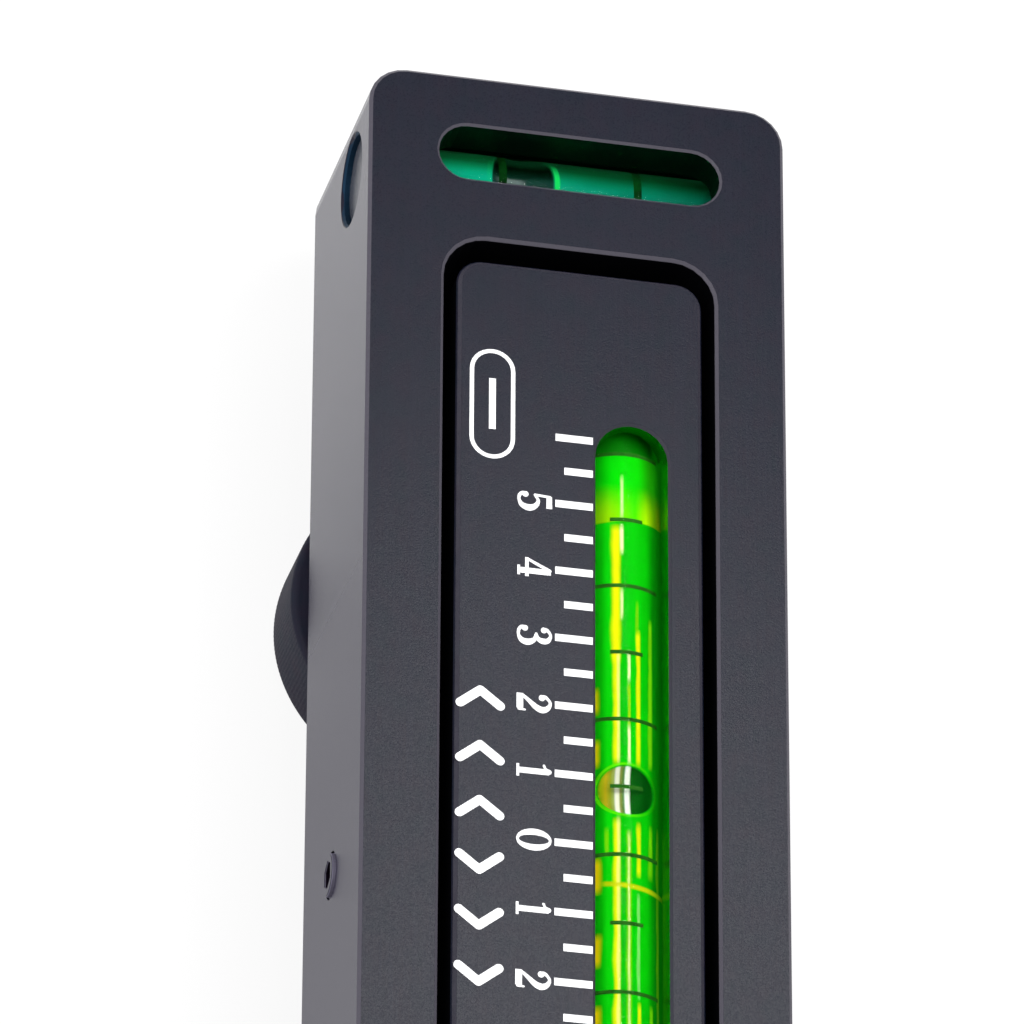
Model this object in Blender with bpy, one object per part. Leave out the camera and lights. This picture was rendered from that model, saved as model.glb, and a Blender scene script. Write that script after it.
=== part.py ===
"""Magnetic camber gauge: a machined bar that stands off a wheel hub on two magnets.

The bar lies along +Y with its front face up.  The hub face is at Y = 0 and the free end,
which holds the cross level, is at Y = BODY_LENGTH.  A vial carrier rocks in the front
pocket on two dog-point screws.  A knob behind the bar turns a lead screw that tilts the
carrier, to set its zero.  A spring on the other side of the pivot takes up the play.
"""

import math

import bmesh
import bpy
from mathutils import Matrix, Vector

MM = 0.001

# Clearances, overruns and facets that many pieces share
FIT_GAP = 0.3 * MM
CUT_OVERRUN = 1.0 * MM
MERGE_SPAN = 0.001 * MM
FULL_TURN = 2.0 * math.pi
ROUND_SIDES = 32
SMALL_SIDES = 16
CORNER_STEPS = 6
HEX_SIDES = 6
SMOOTH_ANGLE = math.radians(35.0)

# Bar
BODY_LENGTH = 163.5 * MM
BODY_WIDTH = 42.0 * MM
BODY_DEPTH = 25.4 * MM
BODY_CORNER = 3.8 * MM
BODY_EDGE = 0.35 * MM

# Front pocket
POCKET_SIDE_WALL = 7.4 * MM
POCKET_OFFSET = 0.27 * MM
POCKET_END_WALL = 18.04 * MM
POCKET_CORNER = 4.3 * MM
POCKET_FLOOR = 6.2 * MM
POCKET_EDGE = 0.35 * MM

# Vial carrier
CARRIER_SIDE_GAP = 1.3 * MM
CARRIER_END_GAP = 2.3 * MM
CARRIER_UNDER_GAP = 2.5 * MM
CARRIER_CORNER = 2.6 * MM
CARRIER_EDGE = 0.5 * MM

# Camber vial and its window; one degree of tilt moves the bubble by DEGREE_PITCH
DEGREE_PITCH = 7.15 * MM
WINDOW_WIDTH = 7.25 * MM
WINDOW_SIDE_INSET = 7.1 * MM
WINDOW_END_INSET = 16.3 * MM
WINDOW_EDGE = 0.25 * MM
VIAL_COVER = 1.9 * MM
CAMBER_TUBE_RADIUS = 4.8 * MM
CAMBER_TUBE_WALL = 0.8 * MM
CAMBER_TUBE_OVERLAP = 4.8 * MM
CAMBER_PLUG_LENGTH = 3.6 * MM
BARREL_DEGREES = 6.2
BARREL_STEPS = 12
CAMBER_BUBBLE_LENGTH = 5.4 * MM
CAMBER_BUBBLE_WIDTH = 5.4 * MM
CAMBER_BUBBLE_DEPTH = 1.9 * MM
CAMBER_BUBBLE_PLACE = 7.2 * MM
BORE_PLUG_LENGTH = 6.0 * MM
BORE_PLUG_SLOT_WIDTH = 1.2 * MM
BORE_PLUG_SLOT_DEPTH = 1.5 * MM

# Cross level at the free end
LEVEL_END_INSET = 8.7 * MM
LEVEL_FRONT_INSET = 8.0 * MM
LEVEL_BORE_RADIUS = 4.56 * MM
LEVEL_BORE_EDGE = 0.3 * MM
LEVEL_SLOT_LENGTH = 28.4 * MM
LEVEL_SLOT_WIDTH = 5.9 * MM
LEVEL_SLOT_SHIFT = 0.22 * MM
LEVEL_SLOT_EDGE = 0.25 * MM
LEVEL_BORE_PLUG_SET = 0.75 * MM
LEVEL_TUBE_OVERLAP = 1.8 * MM
LEVEL_TUBE_WALL = 0.75 * MM
LEVEL_BARREL_RADIUS = 260.0 * MM
LEVEL_PLUG_LENGTH = 3.0 * MM
LEVEL_BUBBLE_LENGTH = 6.5 * MM
LEVEL_BUBBLE_WIDTH = 4.6 * MM
LEVEL_BUBBLE_DEPTH = 1.5 * MM
LEVEL_BUBBLE_PLACE = -4.8 * MM

# Pivot screws, which run in from both sides at mid length and mid depth
PIVOT_HOLE_RADIUS = 2.4 * MM
PIVOT_SCREW_RECESS = 0.2 * MM
PIVOT_DOG_RADIUS = 1.5 * MM
PIVOT_DOG_REACH = 2.5 * MM
PIVOT_SHOULDER_SET = 0.4 * MM
PIVOT_SOCKET_ACROSS = 2.4 * MM
PIVOT_SOCKET_DEPTH = 2.2 * MM
SCREW_TIP_EDGE = 0.4 * MM

# Lead screw and knob
LEVER_ARM = 36.8 * MM
SPINDLE_WALL_INSET = 6.45 * MM
SPINDLE_RADIUS = 2.5 * MM
SPINDLE_TIP_REACH = 3.4 * MM
SPINDLE_SLOT_WIDTH = 0.9 * MM
SPINDLE_SLOT_DEPTH = 1.0 * MM
SPINDLE_HEAD_SET = 0.3 * MM
GROOVE_DEPTH = 0.8 * MM
CLIP_THICKNESS = 0.8 * MM
CLIP_RADIUS = 4.4 * MM
CLIP_MOUTH = math.radians(70.0)
CLIP_STEPS = 18
WASHER_RADIUS = 7.0 * MM
WASHER_THICKNESS = 1.0 * MM
KNOB_HUB_RADIUS = 7.0 * MM
KNOB_HUB_HEIGHT = 1.0 * MM
KNOB_RADIUS = 15.25 * MM
KNOB_THICKNESS = 9.2 * MM
KNOB_EDGE = 0.8 * MM
KNOB_RIM_WIDTH = 3.6 * MM
KNOB_DISH_DEPTH = 1.2 * MM
KNOB_DISH_SLOPE = 0.7 * MM
KNURL_DEPTH = 0.28 * MM
KNURL_TEETH = 72
GRUB_RADIUS = 1.3 * MM
GRUB_LENGTH = 5.0 * MM
GRUB_SOCKET_ACROSS = 1.3 * MM
GRUB_SOCKET_DEPTH = 1.5 * MM
NUT_RADIUS = 4.0 * MM
NUT_HEIGHT = 4.0 * MM
NUT_ROOF_ROOM = 0.5 * MM

# Backlash spring, beyond the pivot
SPRING_ARM = 37.15 * MM
SPRING_COIL_RADIUS = 2.9 * MM
SPRING_WIRE_RADIUS = 0.35 * MM
SPRING_TURNS = 5
SPRING_TURN_POINTS = 10
SPRING_WIRE_SIDES = 6
SPRING_CARRIER_DEPTH = 4.5 * MM
SPRING_BODY_DEPTH = 1.2 * MM

# Pot magnets in the hub face
MAGNET_OFFSET = 9.2 * MM
MAGNET_CUP_RADIUS = 6.5 * MM
MAGNET_CUP_DEPTH = 7.0 * MM
MAGNET_CUP_WALL = 1.0 * MM
MAGNET_CUP_BASE = 1.6 * MM
MAGNET_CUP_SET = 0.2 * MM
MAGNET_SCREW_RADIUS = 1.3 * MM
MAGNET_SCREW_HEAD_RADIUS = 2.7 * MM
MAGNET_SCREW_HEAD_HEIGHT = 1.4 * MM
MAGNET_SCREW_HEAD_SET = 0.5 * MM
MAGNET_SCREW_LENGTH = 12.5 * MM
MAGNET_SOCKET_ACROSS = 2.0 * MM
MAGNET_SOCKET_DEPTH = 1.1 * MM

# Places that follow from the sizes above
MID_LENGTH = BODY_LENGTH / 2
FRONT = BODY_DEPTH / 2
BACK = -FRONT
SIDE = BODY_WIDTH / 2
POCKET_HALF_WIDTH = SIDE - POCKET_SIDE_WALL
POCKET_HALF_LENGTH = MID_LENGTH - POCKET_END_WALL
POCKET_BOTTOM = BACK + POCKET_FLOOR
CARRIER_HALF_WIDTH = POCKET_HALF_WIDTH - CARRIER_SIDE_GAP
CARRIER_HALF_LENGTH = POCKET_HALF_LENGTH - CARRIER_END_GAP
CARRIER_BOTTOM = POCKET_BOTTOM + CARRIER_UNDER_GAP
CARRIER_FREE_END = MID_LENGTH + CARRIER_HALF_LENGTH
WINDOW_HALF_LENGTH = CARRIER_HALF_LENGTH - WINDOW_END_INSET
WINDOW_OFFSET = POCKET_OFFSET + CARRIER_HALF_WIDTH - WINDOW_SIDE_INSET
CAMBER_AXIS_HEIGHT = FRONT - VIAL_COVER - CAMBER_TUBE_RADIUS
CAMBER_TUBE_HALF_LENGTH = WINDOW_HALF_LENGTH + CAMBER_TUBE_OVERLAP
CAMBER_BORE_RADIUS = CAMBER_TUBE_RADIUS + FIT_GAP
CAMBER_BARREL_RADIUS = DEGREE_PITCH / math.radians(1.0)
LEVEL_PLACE = BODY_LENGTH - LEVEL_END_INSET
LEVEL_AXIS_HEIGHT = FRONT - LEVEL_FRONT_INSET
LEVEL_TUBE_RADIUS = LEVEL_BORE_RADIUS - FIT_GAP
LEVEL_TUBE_HALF_LENGTH = LEVEL_SLOT_LENGTH / 2 + LEVEL_TUBE_OVERLAP
LEVEL_BORE_DEPTH = SIDE + POCKET_OFFSET + LEVEL_TUBE_HALF_LENGTH + FIT_GAP
SPINDLE_OFFSET = POCKET_OFFSET + SPINDLE_WALL_INSET - POCKET_HALF_WIDTH
SPINDLE_PLACE = MID_LENGTH + LEVER_ARM
SPRING_PLACE = MID_LENGTH - SPRING_ARM
WASHER_TOP = BACK - FIT_GAP
HUB_TOP = WASHER_TOP - WASHER_THICKNESS - FIT_GAP
KNOB_TOP = HUB_TOP - KNOB_HUB_HEIGHT
KNOB_BOTTOM = KNOB_TOP - KNOB_THICKNESS
DISH_HEIGHT = KNOB_BOTTOM + KNOB_DISH_DEPTH
CLIP_BOTTOM = POCKET_BOTTOM + FIT_GAP


def finish(name, colour, roughness, metallic=0.0, alpha=1.0):
    """One Principled material with the finish of a piece."""
    material = bpy.data.materials.new(name)
    material.use_nodes = True
    shader = material.node_tree.nodes["Principled BSDF"]
    shader.inputs["Base Color"].default_value = (*colour, 1.0)
    shader.inputs["Roughness"].default_value = roughness
    shader.inputs["Metallic"].default_value = metallic
    shader.inputs["Alpha"].default_value = alpha
    return material


def rounded_rectangle(half_width, half_length, radius, middle=(0.0, 0.0), steps=CORNER_STEPS):
    """Points round a rectangle whose four corners are arcs of the given radius."""
    points = []
    for corner in range(4):
        side_x = 1 if corner in (0, 3) else -1
        side_y = 1 if corner in (0, 1) else -1
        for step in range(steps + 1):
            angle = FULL_TURN / 4 * (corner + step / steps)
            points.append((middle[0] + side_x * (half_width - radius) + radius * math.cos(angle),
                           middle[1] + side_y * (half_length - radius) + radius * math.sin(angle)))
    return points


def circle(radius, sides=ROUND_SIDES):
    """Points round a circle about the profile's axis."""
    return [(radius * math.cos(FULL_TURN * side / sides), radius * math.sin(FULL_TURN * side / sides))
            for side in range(sides)]


def hexagon(across_flats):
    """Points of a hexagon, given by the width across its flats."""
    return circle(across_flats / (2 * math.cos(FULL_TURN / HEX_SIDES / 2)), HEX_SIDES)


def along(axis, origin):
    """A placing of local XYZ with local +Z turned onto axis and local zero at origin."""
    turn = Vector((0.0, 0.0, 1.0)).rotation_difference(Vector(axis))
    return Matrix.Translation(Vector(origin)) @ turn.to_matrix().to_4x4()


def skin(name, rings, placing=None, closed=False, smooth=True):
    """Join rings of equal point count into one closed surface and make it an object.

    With closed the last ring meets the first, as on a tube; otherwise both ends are capped.
    """
    builder = bmesh.new()
    loops = [[builder.verts.new(point) for point in ring] for ring in rings]
    count = len(rings[0])
    pairs = list(zip(loops, loops[1:]))
    if closed:
        pairs.append((loops[-1], loops[0]))
    else:
        builder.faces.new(loops[0])
        builder.faces.new(loops[-1])
    for low, high in pairs:
        for side in range(count):
            beside = (side + 1) % count
            builder.faces.new((low[side], low[beside], high[beside], high[side]))
    if placing is not None:
        bmesh.ops.transform(builder, matrix=placing, verts=builder.verts)
    bmesh.ops.remove_doubles(builder, verts=builder.verts, dist=MERGE_SPAN)
    bmesh.ops.recalc_face_normals(builder, faces=builder.faces)
    mesh = bpy.data.meshes.new(name)
    builder.to_mesh(mesh)
    builder.free()
    if smooth:
        mesh.shade_smooth()
        mesh.set_sharp_from_angle(angle=SMOOTH_ANGLE)
    piece = bpy.data.objects.new(name, mesh)
    bpy.context.scene.collection.objects.link(piece)
    return piece


def loft(name, outline, levels, placing=None):
    """A block whose outline(grow) is set at each (height, grow) level, bottom to top."""
    rings = [[(x, y, height) for x, y in outline(grow)] for height, grow in levels]
    return skin(name, rings, placing)


def revolve(name, profile, placing=None, sides=ROUND_SIDES, bored=False):
    """A turned piece from (height, radius) pairs; a bored one runs out and back in."""
    rings = [[(x, y, height) for x, y in circle(radius, sides)] for height, radius in profile]
    return skin(name, rings, placing, closed=bored)


def cut(piece, cutter):
    """Take the cutter out of the piece, and leave it as a wire guide."""
    cutter.hide_render = True
    cutter.display_type = "WIRE"
    step = piece.modifiers.new("Cut " + cutter.name, "BOOLEAN")
    step.operation = "DIFFERENCE"
    step.object = cutter


def hang(piece, guide, place):
    """Let a piece turn with the empty that stands at place on its joint's axis."""
    piece.parent = guide
    piece.matrix_parent_inverse = Matrix.Translation(-Vector(place))


def pivot_guide(name, place):
    """An empty on a joint's axis."""
    guide = bpy.data.objects.new(name, None)
    guide.location = place
    bpy.context.scene.collection.objects.link(guide)
    return guide


def dress(pieces, material):
    """Give each piece its material."""
    for piece in pieces:
        piece.data.materials.append(material)


def barrel_radius_at(offset, middle_radius, curvature):
    """Radius of a barrel bore at an offset from its middle, so that a bubble seeks the top."""
    return middle_radius - offset * offset / (2 * curvature)


def barrel_profile(half_length, middle_radius, curvature):
    """(height, radius) pairs of a barrel from one end to the other."""
    offsets = [half_length * (2 * step / BARREL_STEPS - 1) for step in range(BARREL_STEPS + 1)]
    return [(offset, barrel_radius_at(offset, middle_radius, curvature)) for offset in offsets]


def ellipsoid(name, radii, middle):
    """A bubble's space: a unit sphere scaled to three radii about its middle."""
    builder = bmesh.new()
    bmesh.ops.create_icosphere(builder, subdivisions=3, radius=1)
    placing = Matrix.Translation(Vector(middle)) @ Matrix.Diagonal((*radii, 1.0))
    bmesh.ops.transform(builder, matrix=placing, verts=builder.verts)
    mesh = bpy.data.meshes.new(name)
    builder.to_mesh(mesh)
    builder.free()
    piece = bpy.data.objects.new(name, mesh)
    bpy.context.scene.collection.objects.link(piece)
    return piece


def pocket_outline(grow):
    """The front pocket's outline, grown all round."""
    return rounded_rectangle(POCKET_HALF_WIDTH + grow, POCKET_HALF_LENGTH + grow,
                             POCKET_CORNER + grow, (POCKET_OFFSET, MID_LENGTH))


def carrier_outline(grow):
    """The vial carrier's outline, grown all round."""
    return rounded_rectangle(CARRIER_HALF_WIDTH + grow, CARRIER_HALF_LENGTH + grow,
                             CARRIER_CORNER + grow, (POCKET_OFFSET, MID_LENGTH))


def body_outline(grow):
    """The bar's outline from the front, grown all round."""
    return rounded_rectangle(SIDE + grow, MID_LENGTH + grow, BODY_CORNER + grow,
                             (0.0, MID_LENGTH))


def mouth_levels(bottom, face, edge):
    """Levels of a cutter that ends in a chamfered mouth at a face above its bottom."""
    return [(bottom, 0.0), (face - edge, 0.0), (face, edge), (face + CUT_OVERRUN, edge)]


def make_body(colour):
    """The bar, with its pocket, level slot and bore, pivot holes and magnet seats."""
    body = loft("body", body_outline, [(BACK, -BODY_EDGE), (BACK + BODY_EDGE, 0.0),
                                       (FRONT - BODY_EDGE, 0.0), (FRONT, -BODY_EDGE)])
    cut(body, loft("pocket_space", pocket_outline, mouth_levels(POCKET_BOTTOM, FRONT, POCKET_EDGE)))

    def slot_outline(grow):
        half_width = LEVEL_SLOT_WIDTH / 2 + grow
        return rounded_rectangle(LEVEL_SLOT_LENGTH / 2 + grow, half_width, half_width,
                                 (POCKET_OFFSET, LEVEL_PLACE + LEVEL_SLOT_SHIFT))

    cut(body, loft("level_slot_space", slot_outline,
                   mouth_levels(LEVEL_AXIS_HEIGHT, FRONT, LEVEL_SLOT_EDGE)))
    cut(body, revolve("level_bore_space", [
        (-CUT_OVERRUN, LEVEL_BORE_RADIUS + LEVEL_BORE_EDGE),
        (0.0, LEVEL_BORE_RADIUS + LEVEL_BORE_EDGE),
        (LEVEL_BORE_EDGE, LEVEL_BORE_RADIUS),
        (LEVEL_BORE_DEPTH, LEVEL_BORE_RADIUS),
    ], along((1, 0, 0), (-SIDE, LEVEL_PLACE, LEVEL_AXIS_HEIGHT))))
    for side_name, sign in (("left", -1), ("right", 1)):
        side_wall = POCKET_SIDE_WALL - sign * POCKET_OFFSET
        cut(body, revolve("pivot_space_" + side_name, [
            (-CUT_OVERRUN, PIVOT_HOLE_RADIUS), (side_wall + CUT_OVERRUN, PIVOT_HOLE_RADIUS),
        ], along((-sign, 0, 0), (sign * SIDE, MID_LENGTH, 0.0)), SMALL_SIDES))
    cut(body, revolve("spindle_space", [
        (BACK - CUT_OVERRUN, SPINDLE_RADIUS + FIT_GAP),
        (POCKET_BOTTOM + CUT_OVERRUN, SPINDLE_RADIUS + FIT_GAP),
    ], along((0, 0, 1), (SPINDLE_OFFSET, SPINDLE_PLACE, 0.0))))
    cut(body, revolve("spring_seat_space", [
        (POCKET_BOTTOM - SPRING_BODY_DEPTH, SPRING_COIL_RADIUS + SPRING_WIRE_RADIUS + FIT_GAP),
        (POCKET_BOTTOM + CUT_OVERRUN, SPRING_COIL_RADIUS + SPRING_WIRE_RADIUS + FIT_GAP),
    ], along((0, 0, 1), (SPINDLE_OFFSET, SPRING_PLACE, 0.0))))
    seat_depth = MAGNET_CUP_SET + MAGNET_CUP_DEPTH + FIT_GAP
    for number, sign in ((1, -1), (2, 1)):
        cut(body, revolve(f"magnet_space_{number}", [
            (-CUT_OVERRUN, MAGNET_CUP_RADIUS + FIT_GAP),
            (seat_depth, MAGNET_CUP_RADIUS + FIT_GAP),
            (seat_depth, MAGNET_SCREW_RADIUS + FIT_GAP),
            (MAGNET_SCREW_HEAD_SET + MAGNET_SCREW_LENGTH + FIT_GAP, MAGNET_SCREW_RADIUS + FIT_GAP),
        ], along((0, 1, 0), (sign * MAGNET_OFFSET, 0.0, 0.0))))
    dress([body], colour)
    return body


def make_carrier(colour):
    """The rocking block under the front face that holds the camber vial."""
    carrier = loft("vial_carrier", carrier_outline, [
        (CARRIER_BOTTOM, -CARRIER_EDGE), (CARRIER_BOTTOM + CARRIER_EDGE, 0.0),
        (FRONT - CARRIER_EDGE, 0.0), (FRONT, -CARRIER_EDGE)])

    def window_outline(grow):
        half_width = WINDOW_WIDTH / 2 + grow
        return rounded_rectangle(half_width, WINDOW_HALF_LENGTH + grow, half_width,
                                 (WINDOW_OFFSET, MID_LENGTH))

    cut(carrier, loft("window_space", window_outline,
                      mouth_levels(CAMBER_AXIS_HEIGHT, FRONT, WINDOW_EDGE)))
    bore_start = MID_LENGTH - CAMBER_TUBE_HALF_LENGTH - FIT_GAP
    cut(carrier, revolve("vial_bore_space", [
        (0.0, CAMBER_BORE_RADIUS), (CARRIER_FREE_END + CUT_OVERRUN - bore_start, CAMBER_BORE_RADIUS),
    ], along((0, 1, 0), (WINDOW_OFFSET, bore_start, CAMBER_AXIS_HEIGHT))))
    dog_room = CARRIER_SIDE_GAP + PIVOT_DOG_REACH + FIT_GAP
    for side_name, sign in (("left", -1), ("right", 1)):
        cut(carrier, revolve("dog_space_" + side_name, [
            (0.0, PIVOT_DOG_RADIUS + FIT_GAP), (dog_room, PIVOT_DOG_RADIUS + FIT_GAP),
        ], along((-sign, 0, 0), (POCKET_OFFSET + sign * POCKET_HALF_WIDTH, MID_LENGTH, 0.0)),
            SMALL_SIDES))
    cut(carrier, revolve("nut_space", [
        (CARRIER_BOTTOM - CUT_OVERRUN, NUT_RADIUS + FIT_GAP),
        (CARRIER_BOTTOM + NUT_HEIGHT + NUT_ROOF_ROOM, NUT_RADIUS + FIT_GAP),
    ], along((0, 0, 1), (SPINDLE_OFFSET, SPINDLE_PLACE, 0.0))))
    cut(carrier, revolve("spring_space", [
        (CARRIER_BOTTOM - CUT_OVERRUN, SPRING_COIL_RADIUS + SPRING_WIRE_RADIUS + FIT_GAP),
        (CARRIER_BOTTOM + SPRING_CARRIER_DEPTH, SPRING_COIL_RADIUS + SPRING_WIRE_RADIUS + FIT_GAP),
    ], along((0, 0, 1), (SPINDLE_OFFSET, SPRING_PLACE, 0.0))))
    dress([carrier], colour)
    return carrier


def make_vial(prefix, placing, sizes, glass, liquid_colour, plug_colour):
    """A barrel vial: a tube with a barrel bore, its liquid, and a plug in each end."""
    half_length, tube_radius, wall, curvature, barrel_reach, plug_length, plug_names = sizes
    middle_radius = tube_radius - wall
    liquid_half = half_length - plug_length - FIT_GAP
    barrel_half = min(barrel_reach, liquid_half)
    end_radius = barrel_radius_at(barrel_half, middle_radius, curvature)
    bore = barrel_profile(barrel_half, middle_radius, curvature)
    tube = revolve(prefix + "_tube", [
        (-half_length, end_radius), *bore, (half_length, end_radius),
        (half_length, tube_radius), (-half_length, tube_radius)], placing, bored=True)
    liquid = revolve(prefix + "_liquid", [
        (-liquid_half, end_radius - FIT_GAP),
        *barrel_profile(barrel_half, middle_radius - FIT_GAP, curvature),
        (liquid_half, end_radius - FIT_GAP)], placing)
    plugs = []
    for plug_name, sign in zip(plug_names, (-1, 1)):
        inner, outer = sorted((sign * (half_length - plug_length), sign * half_length))
        plugs.append(revolve(plug_name, [(inner, end_radius - FIT_GAP), (outer, end_radius - FIT_GAP)],
                             placing, SMALL_SIDES))
    dress([tube], glass)
    dress([liquid], liquid_colour)
    dress(plugs, plug_colour)
    return tube, liquid, plugs


def make_camber_vial(glass, liquid_colour, plug_colour):
    """The long vial that shows the camber, with its bubble, and the plug of its bore."""
    placing = along((0, 1, 0), (WINDOW_OFFSET, MID_LENGTH, CAMBER_AXIS_HEIGHT))
    sizes = (CAMBER_TUBE_HALF_LENGTH, CAMBER_TUBE_RADIUS, CAMBER_TUBE_WALL, CAMBER_BARREL_RADIUS,
             BARREL_DEGREES * DEGREE_PITCH, CAMBER_PLUG_LENGTH,
             ("camber_vial_plug_hub_end", "camber_vial_plug_free_end"))
    tube, liquid, plugs = make_vial("camber_vial", placing, sizes, glass, liquid_colour, plug_colour)
    crown = CAMBER_AXIS_HEIGHT + barrel_radius_at(
        CAMBER_BUBBLE_PLACE, CAMBER_TUBE_RADIUS - CAMBER_TUBE_WALL - FIT_GAP, CAMBER_BARREL_RADIUS)
    cut(liquid, ellipsoid("camber_bubble_space",
                          (CAMBER_BUBBLE_WIDTH / 2, CAMBER_BUBBLE_LENGTH / 2, CAMBER_BUBBLE_DEPTH),
                          (WINDOW_OFFSET, MID_LENGTH + CAMBER_BUBBLE_PLACE, crown)))
    return [tube, liquid, *plugs]


def make_bore_plug(colour):
    """The slotted plug that closes the vial's bore in the carrier's free end."""
    start = MID_LENGTH + CAMBER_TUBE_HALF_LENGTH + FIT_GAP
    plug = revolve("vial_bore_plug", [
        (0.0, CAMBER_TUBE_RADIUS - SCREW_TIP_EDGE), (SCREW_TIP_EDGE, CAMBER_TUBE_RADIUS),
        (BORE_PLUG_LENGTH - SCREW_TIP_EDGE, CAMBER_TUBE_RADIUS),
        (BORE_PLUG_LENGTH, CAMBER_TUBE_RADIUS - SCREW_TIP_EDGE),
    ], along((0, 1, 0), (WINDOW_OFFSET, start, CAMBER_AXIS_HEIGHT)))
    cut(plug, slot_cutter("bore_plug_slot", CAMBER_TUBE_RADIUS + CUT_OVERRUN, BORE_PLUG_SLOT_WIDTH,
                          BORE_PLUG_LENGTH - BORE_PLUG_SLOT_DEPTH, BORE_PLUG_LENGTH + CUT_OVERRUN,
                          along((0, 1, 0), (WINDOW_OFFSET, start, CAMBER_AXIS_HEIGHT))))
    dress([plug], colour)
    return plug


def slot_cutter(name, half_length, width, bottom, top, placing):
    """A straight screwdriver slot's space."""
    half_width = width / 2
    corners = [(-half_length, -half_width), (half_length, -half_width),
               (half_length, half_width), (-half_length, half_width)]
    return skin(name, [[(x, y, height) for x, y in corners] for height in (bottom, top)],
                placing, smooth=False)


def socket_cutter(name, across_flats, bottom, top, placing):
    """A hexagon socket's space."""
    return skin(name, [[(x, y, height) for x, y in hexagon(across_flats)]
                       for height in (bottom, top)], placing, smooth=False)


def make_level_vial(glass, liquid_colour, plug_colour):
    """The short cross vial at the free end, with its bubble."""
    placing = along((1, 0, 0), (POCKET_OFFSET, LEVEL_PLACE, LEVEL_AXIS_HEIGHT))
    sizes = (LEVEL_TUBE_HALF_LENGTH, LEVEL_TUBE_RADIUS, LEVEL_TUBE_WALL, LEVEL_BARREL_RADIUS,
             LEVEL_TUBE_HALF_LENGTH, LEVEL_PLUG_LENGTH,
             ("level_vial_plug_left", "level_vial_plug_right"))
    tube, liquid, plugs = make_vial("level_vial", placing, sizes, glass, liquid_colour, plug_colour)
    crown = LEVEL_AXIS_HEIGHT + barrel_radius_at(
        LEVEL_BUBBLE_PLACE, LEVEL_TUBE_RADIUS - LEVEL_TUBE_WALL - FIT_GAP, LEVEL_BARREL_RADIUS)
    cut(liquid, ellipsoid("level_bubble_space",
                          (LEVEL_BUBBLE_LENGTH / 2, LEVEL_BUBBLE_WIDTH / 2, LEVEL_BUBBLE_DEPTH),
                          (POCKET_OFFSET + LEVEL_BUBBLE_PLACE, LEVEL_PLACE, crown)))
    return [tube, liquid, *plugs]


def make_level_bore_plug(colour):
    """The flat plug that closes the cross vial's bore, set a little below the left side face."""
    radius = LEVEL_BORE_RADIUS - FIT_GAP
    outer = LEVEL_BORE_PLUG_SET - SIDE
    inner = POCKET_OFFSET - LEVEL_TUBE_HALF_LENGTH - FIT_GAP
    plug = revolve("level_bore_plug", [(outer, radius), (inner, radius)],
                   along((1, 0, 0), (0.0, LEVEL_PLACE, LEVEL_AXIS_HEIGHT)))
    dress([plug], colour)
    return plug


def make_pivot_screws(colour):
    """Two dog-point set screws in the side walls, whose points are the carrier's axle."""
    screws = []
    radius = PIVOT_HOLE_RADIUS - FIT_GAP
    for side_name, sign in (("left", -1), ("right", 1)):
        side_wall = POCKET_SIDE_WALL - sign * POCKET_OFFSET
        thread_end = side_wall - PIVOT_SHOULDER_SET
        dog_end = side_wall + CARRIER_SIDE_GAP + PIVOT_DOG_REACH
        placing = along((-sign, 0, 0), (sign * SIDE, MID_LENGTH, 0.0))
        screw = revolve("pivot_screw_" + side_name, [
            (PIVOT_SCREW_RECESS, radius - SCREW_TIP_EDGE), (PIVOT_SCREW_RECESS + SCREW_TIP_EDGE, radius),
            (thread_end - SCREW_TIP_EDGE, radius), (thread_end, PIVOT_DOG_RADIUS),
            (dog_end - SCREW_TIP_EDGE, PIVOT_DOG_RADIUS),
            (dog_end, PIVOT_DOG_RADIUS - SCREW_TIP_EDGE)], placing, SMALL_SIDES)
        cut(screw, socket_cutter("pivot_socket_" + side_name, PIVOT_SOCKET_ACROSS,
                                 PIVOT_SCREW_RECESS - CUT_OVERRUN,
                                 PIVOT_SCREW_RECESS + PIVOT_SOCKET_DEPTH, placing))
        screws.append(screw)
    dress(screws, colour)
    return screws


def knurled_circle(radius, depth):
    """A circle with straight knurls cut to the given depth."""
    points = []
    for step in range(2 * KNURL_TEETH):
        angle = FULL_TURN * step / (2 * KNURL_TEETH)
        reach = radius - depth * (step % 2)
        points.append((reach * math.cos(angle), reach * math.sin(angle)))
    return points


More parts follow.
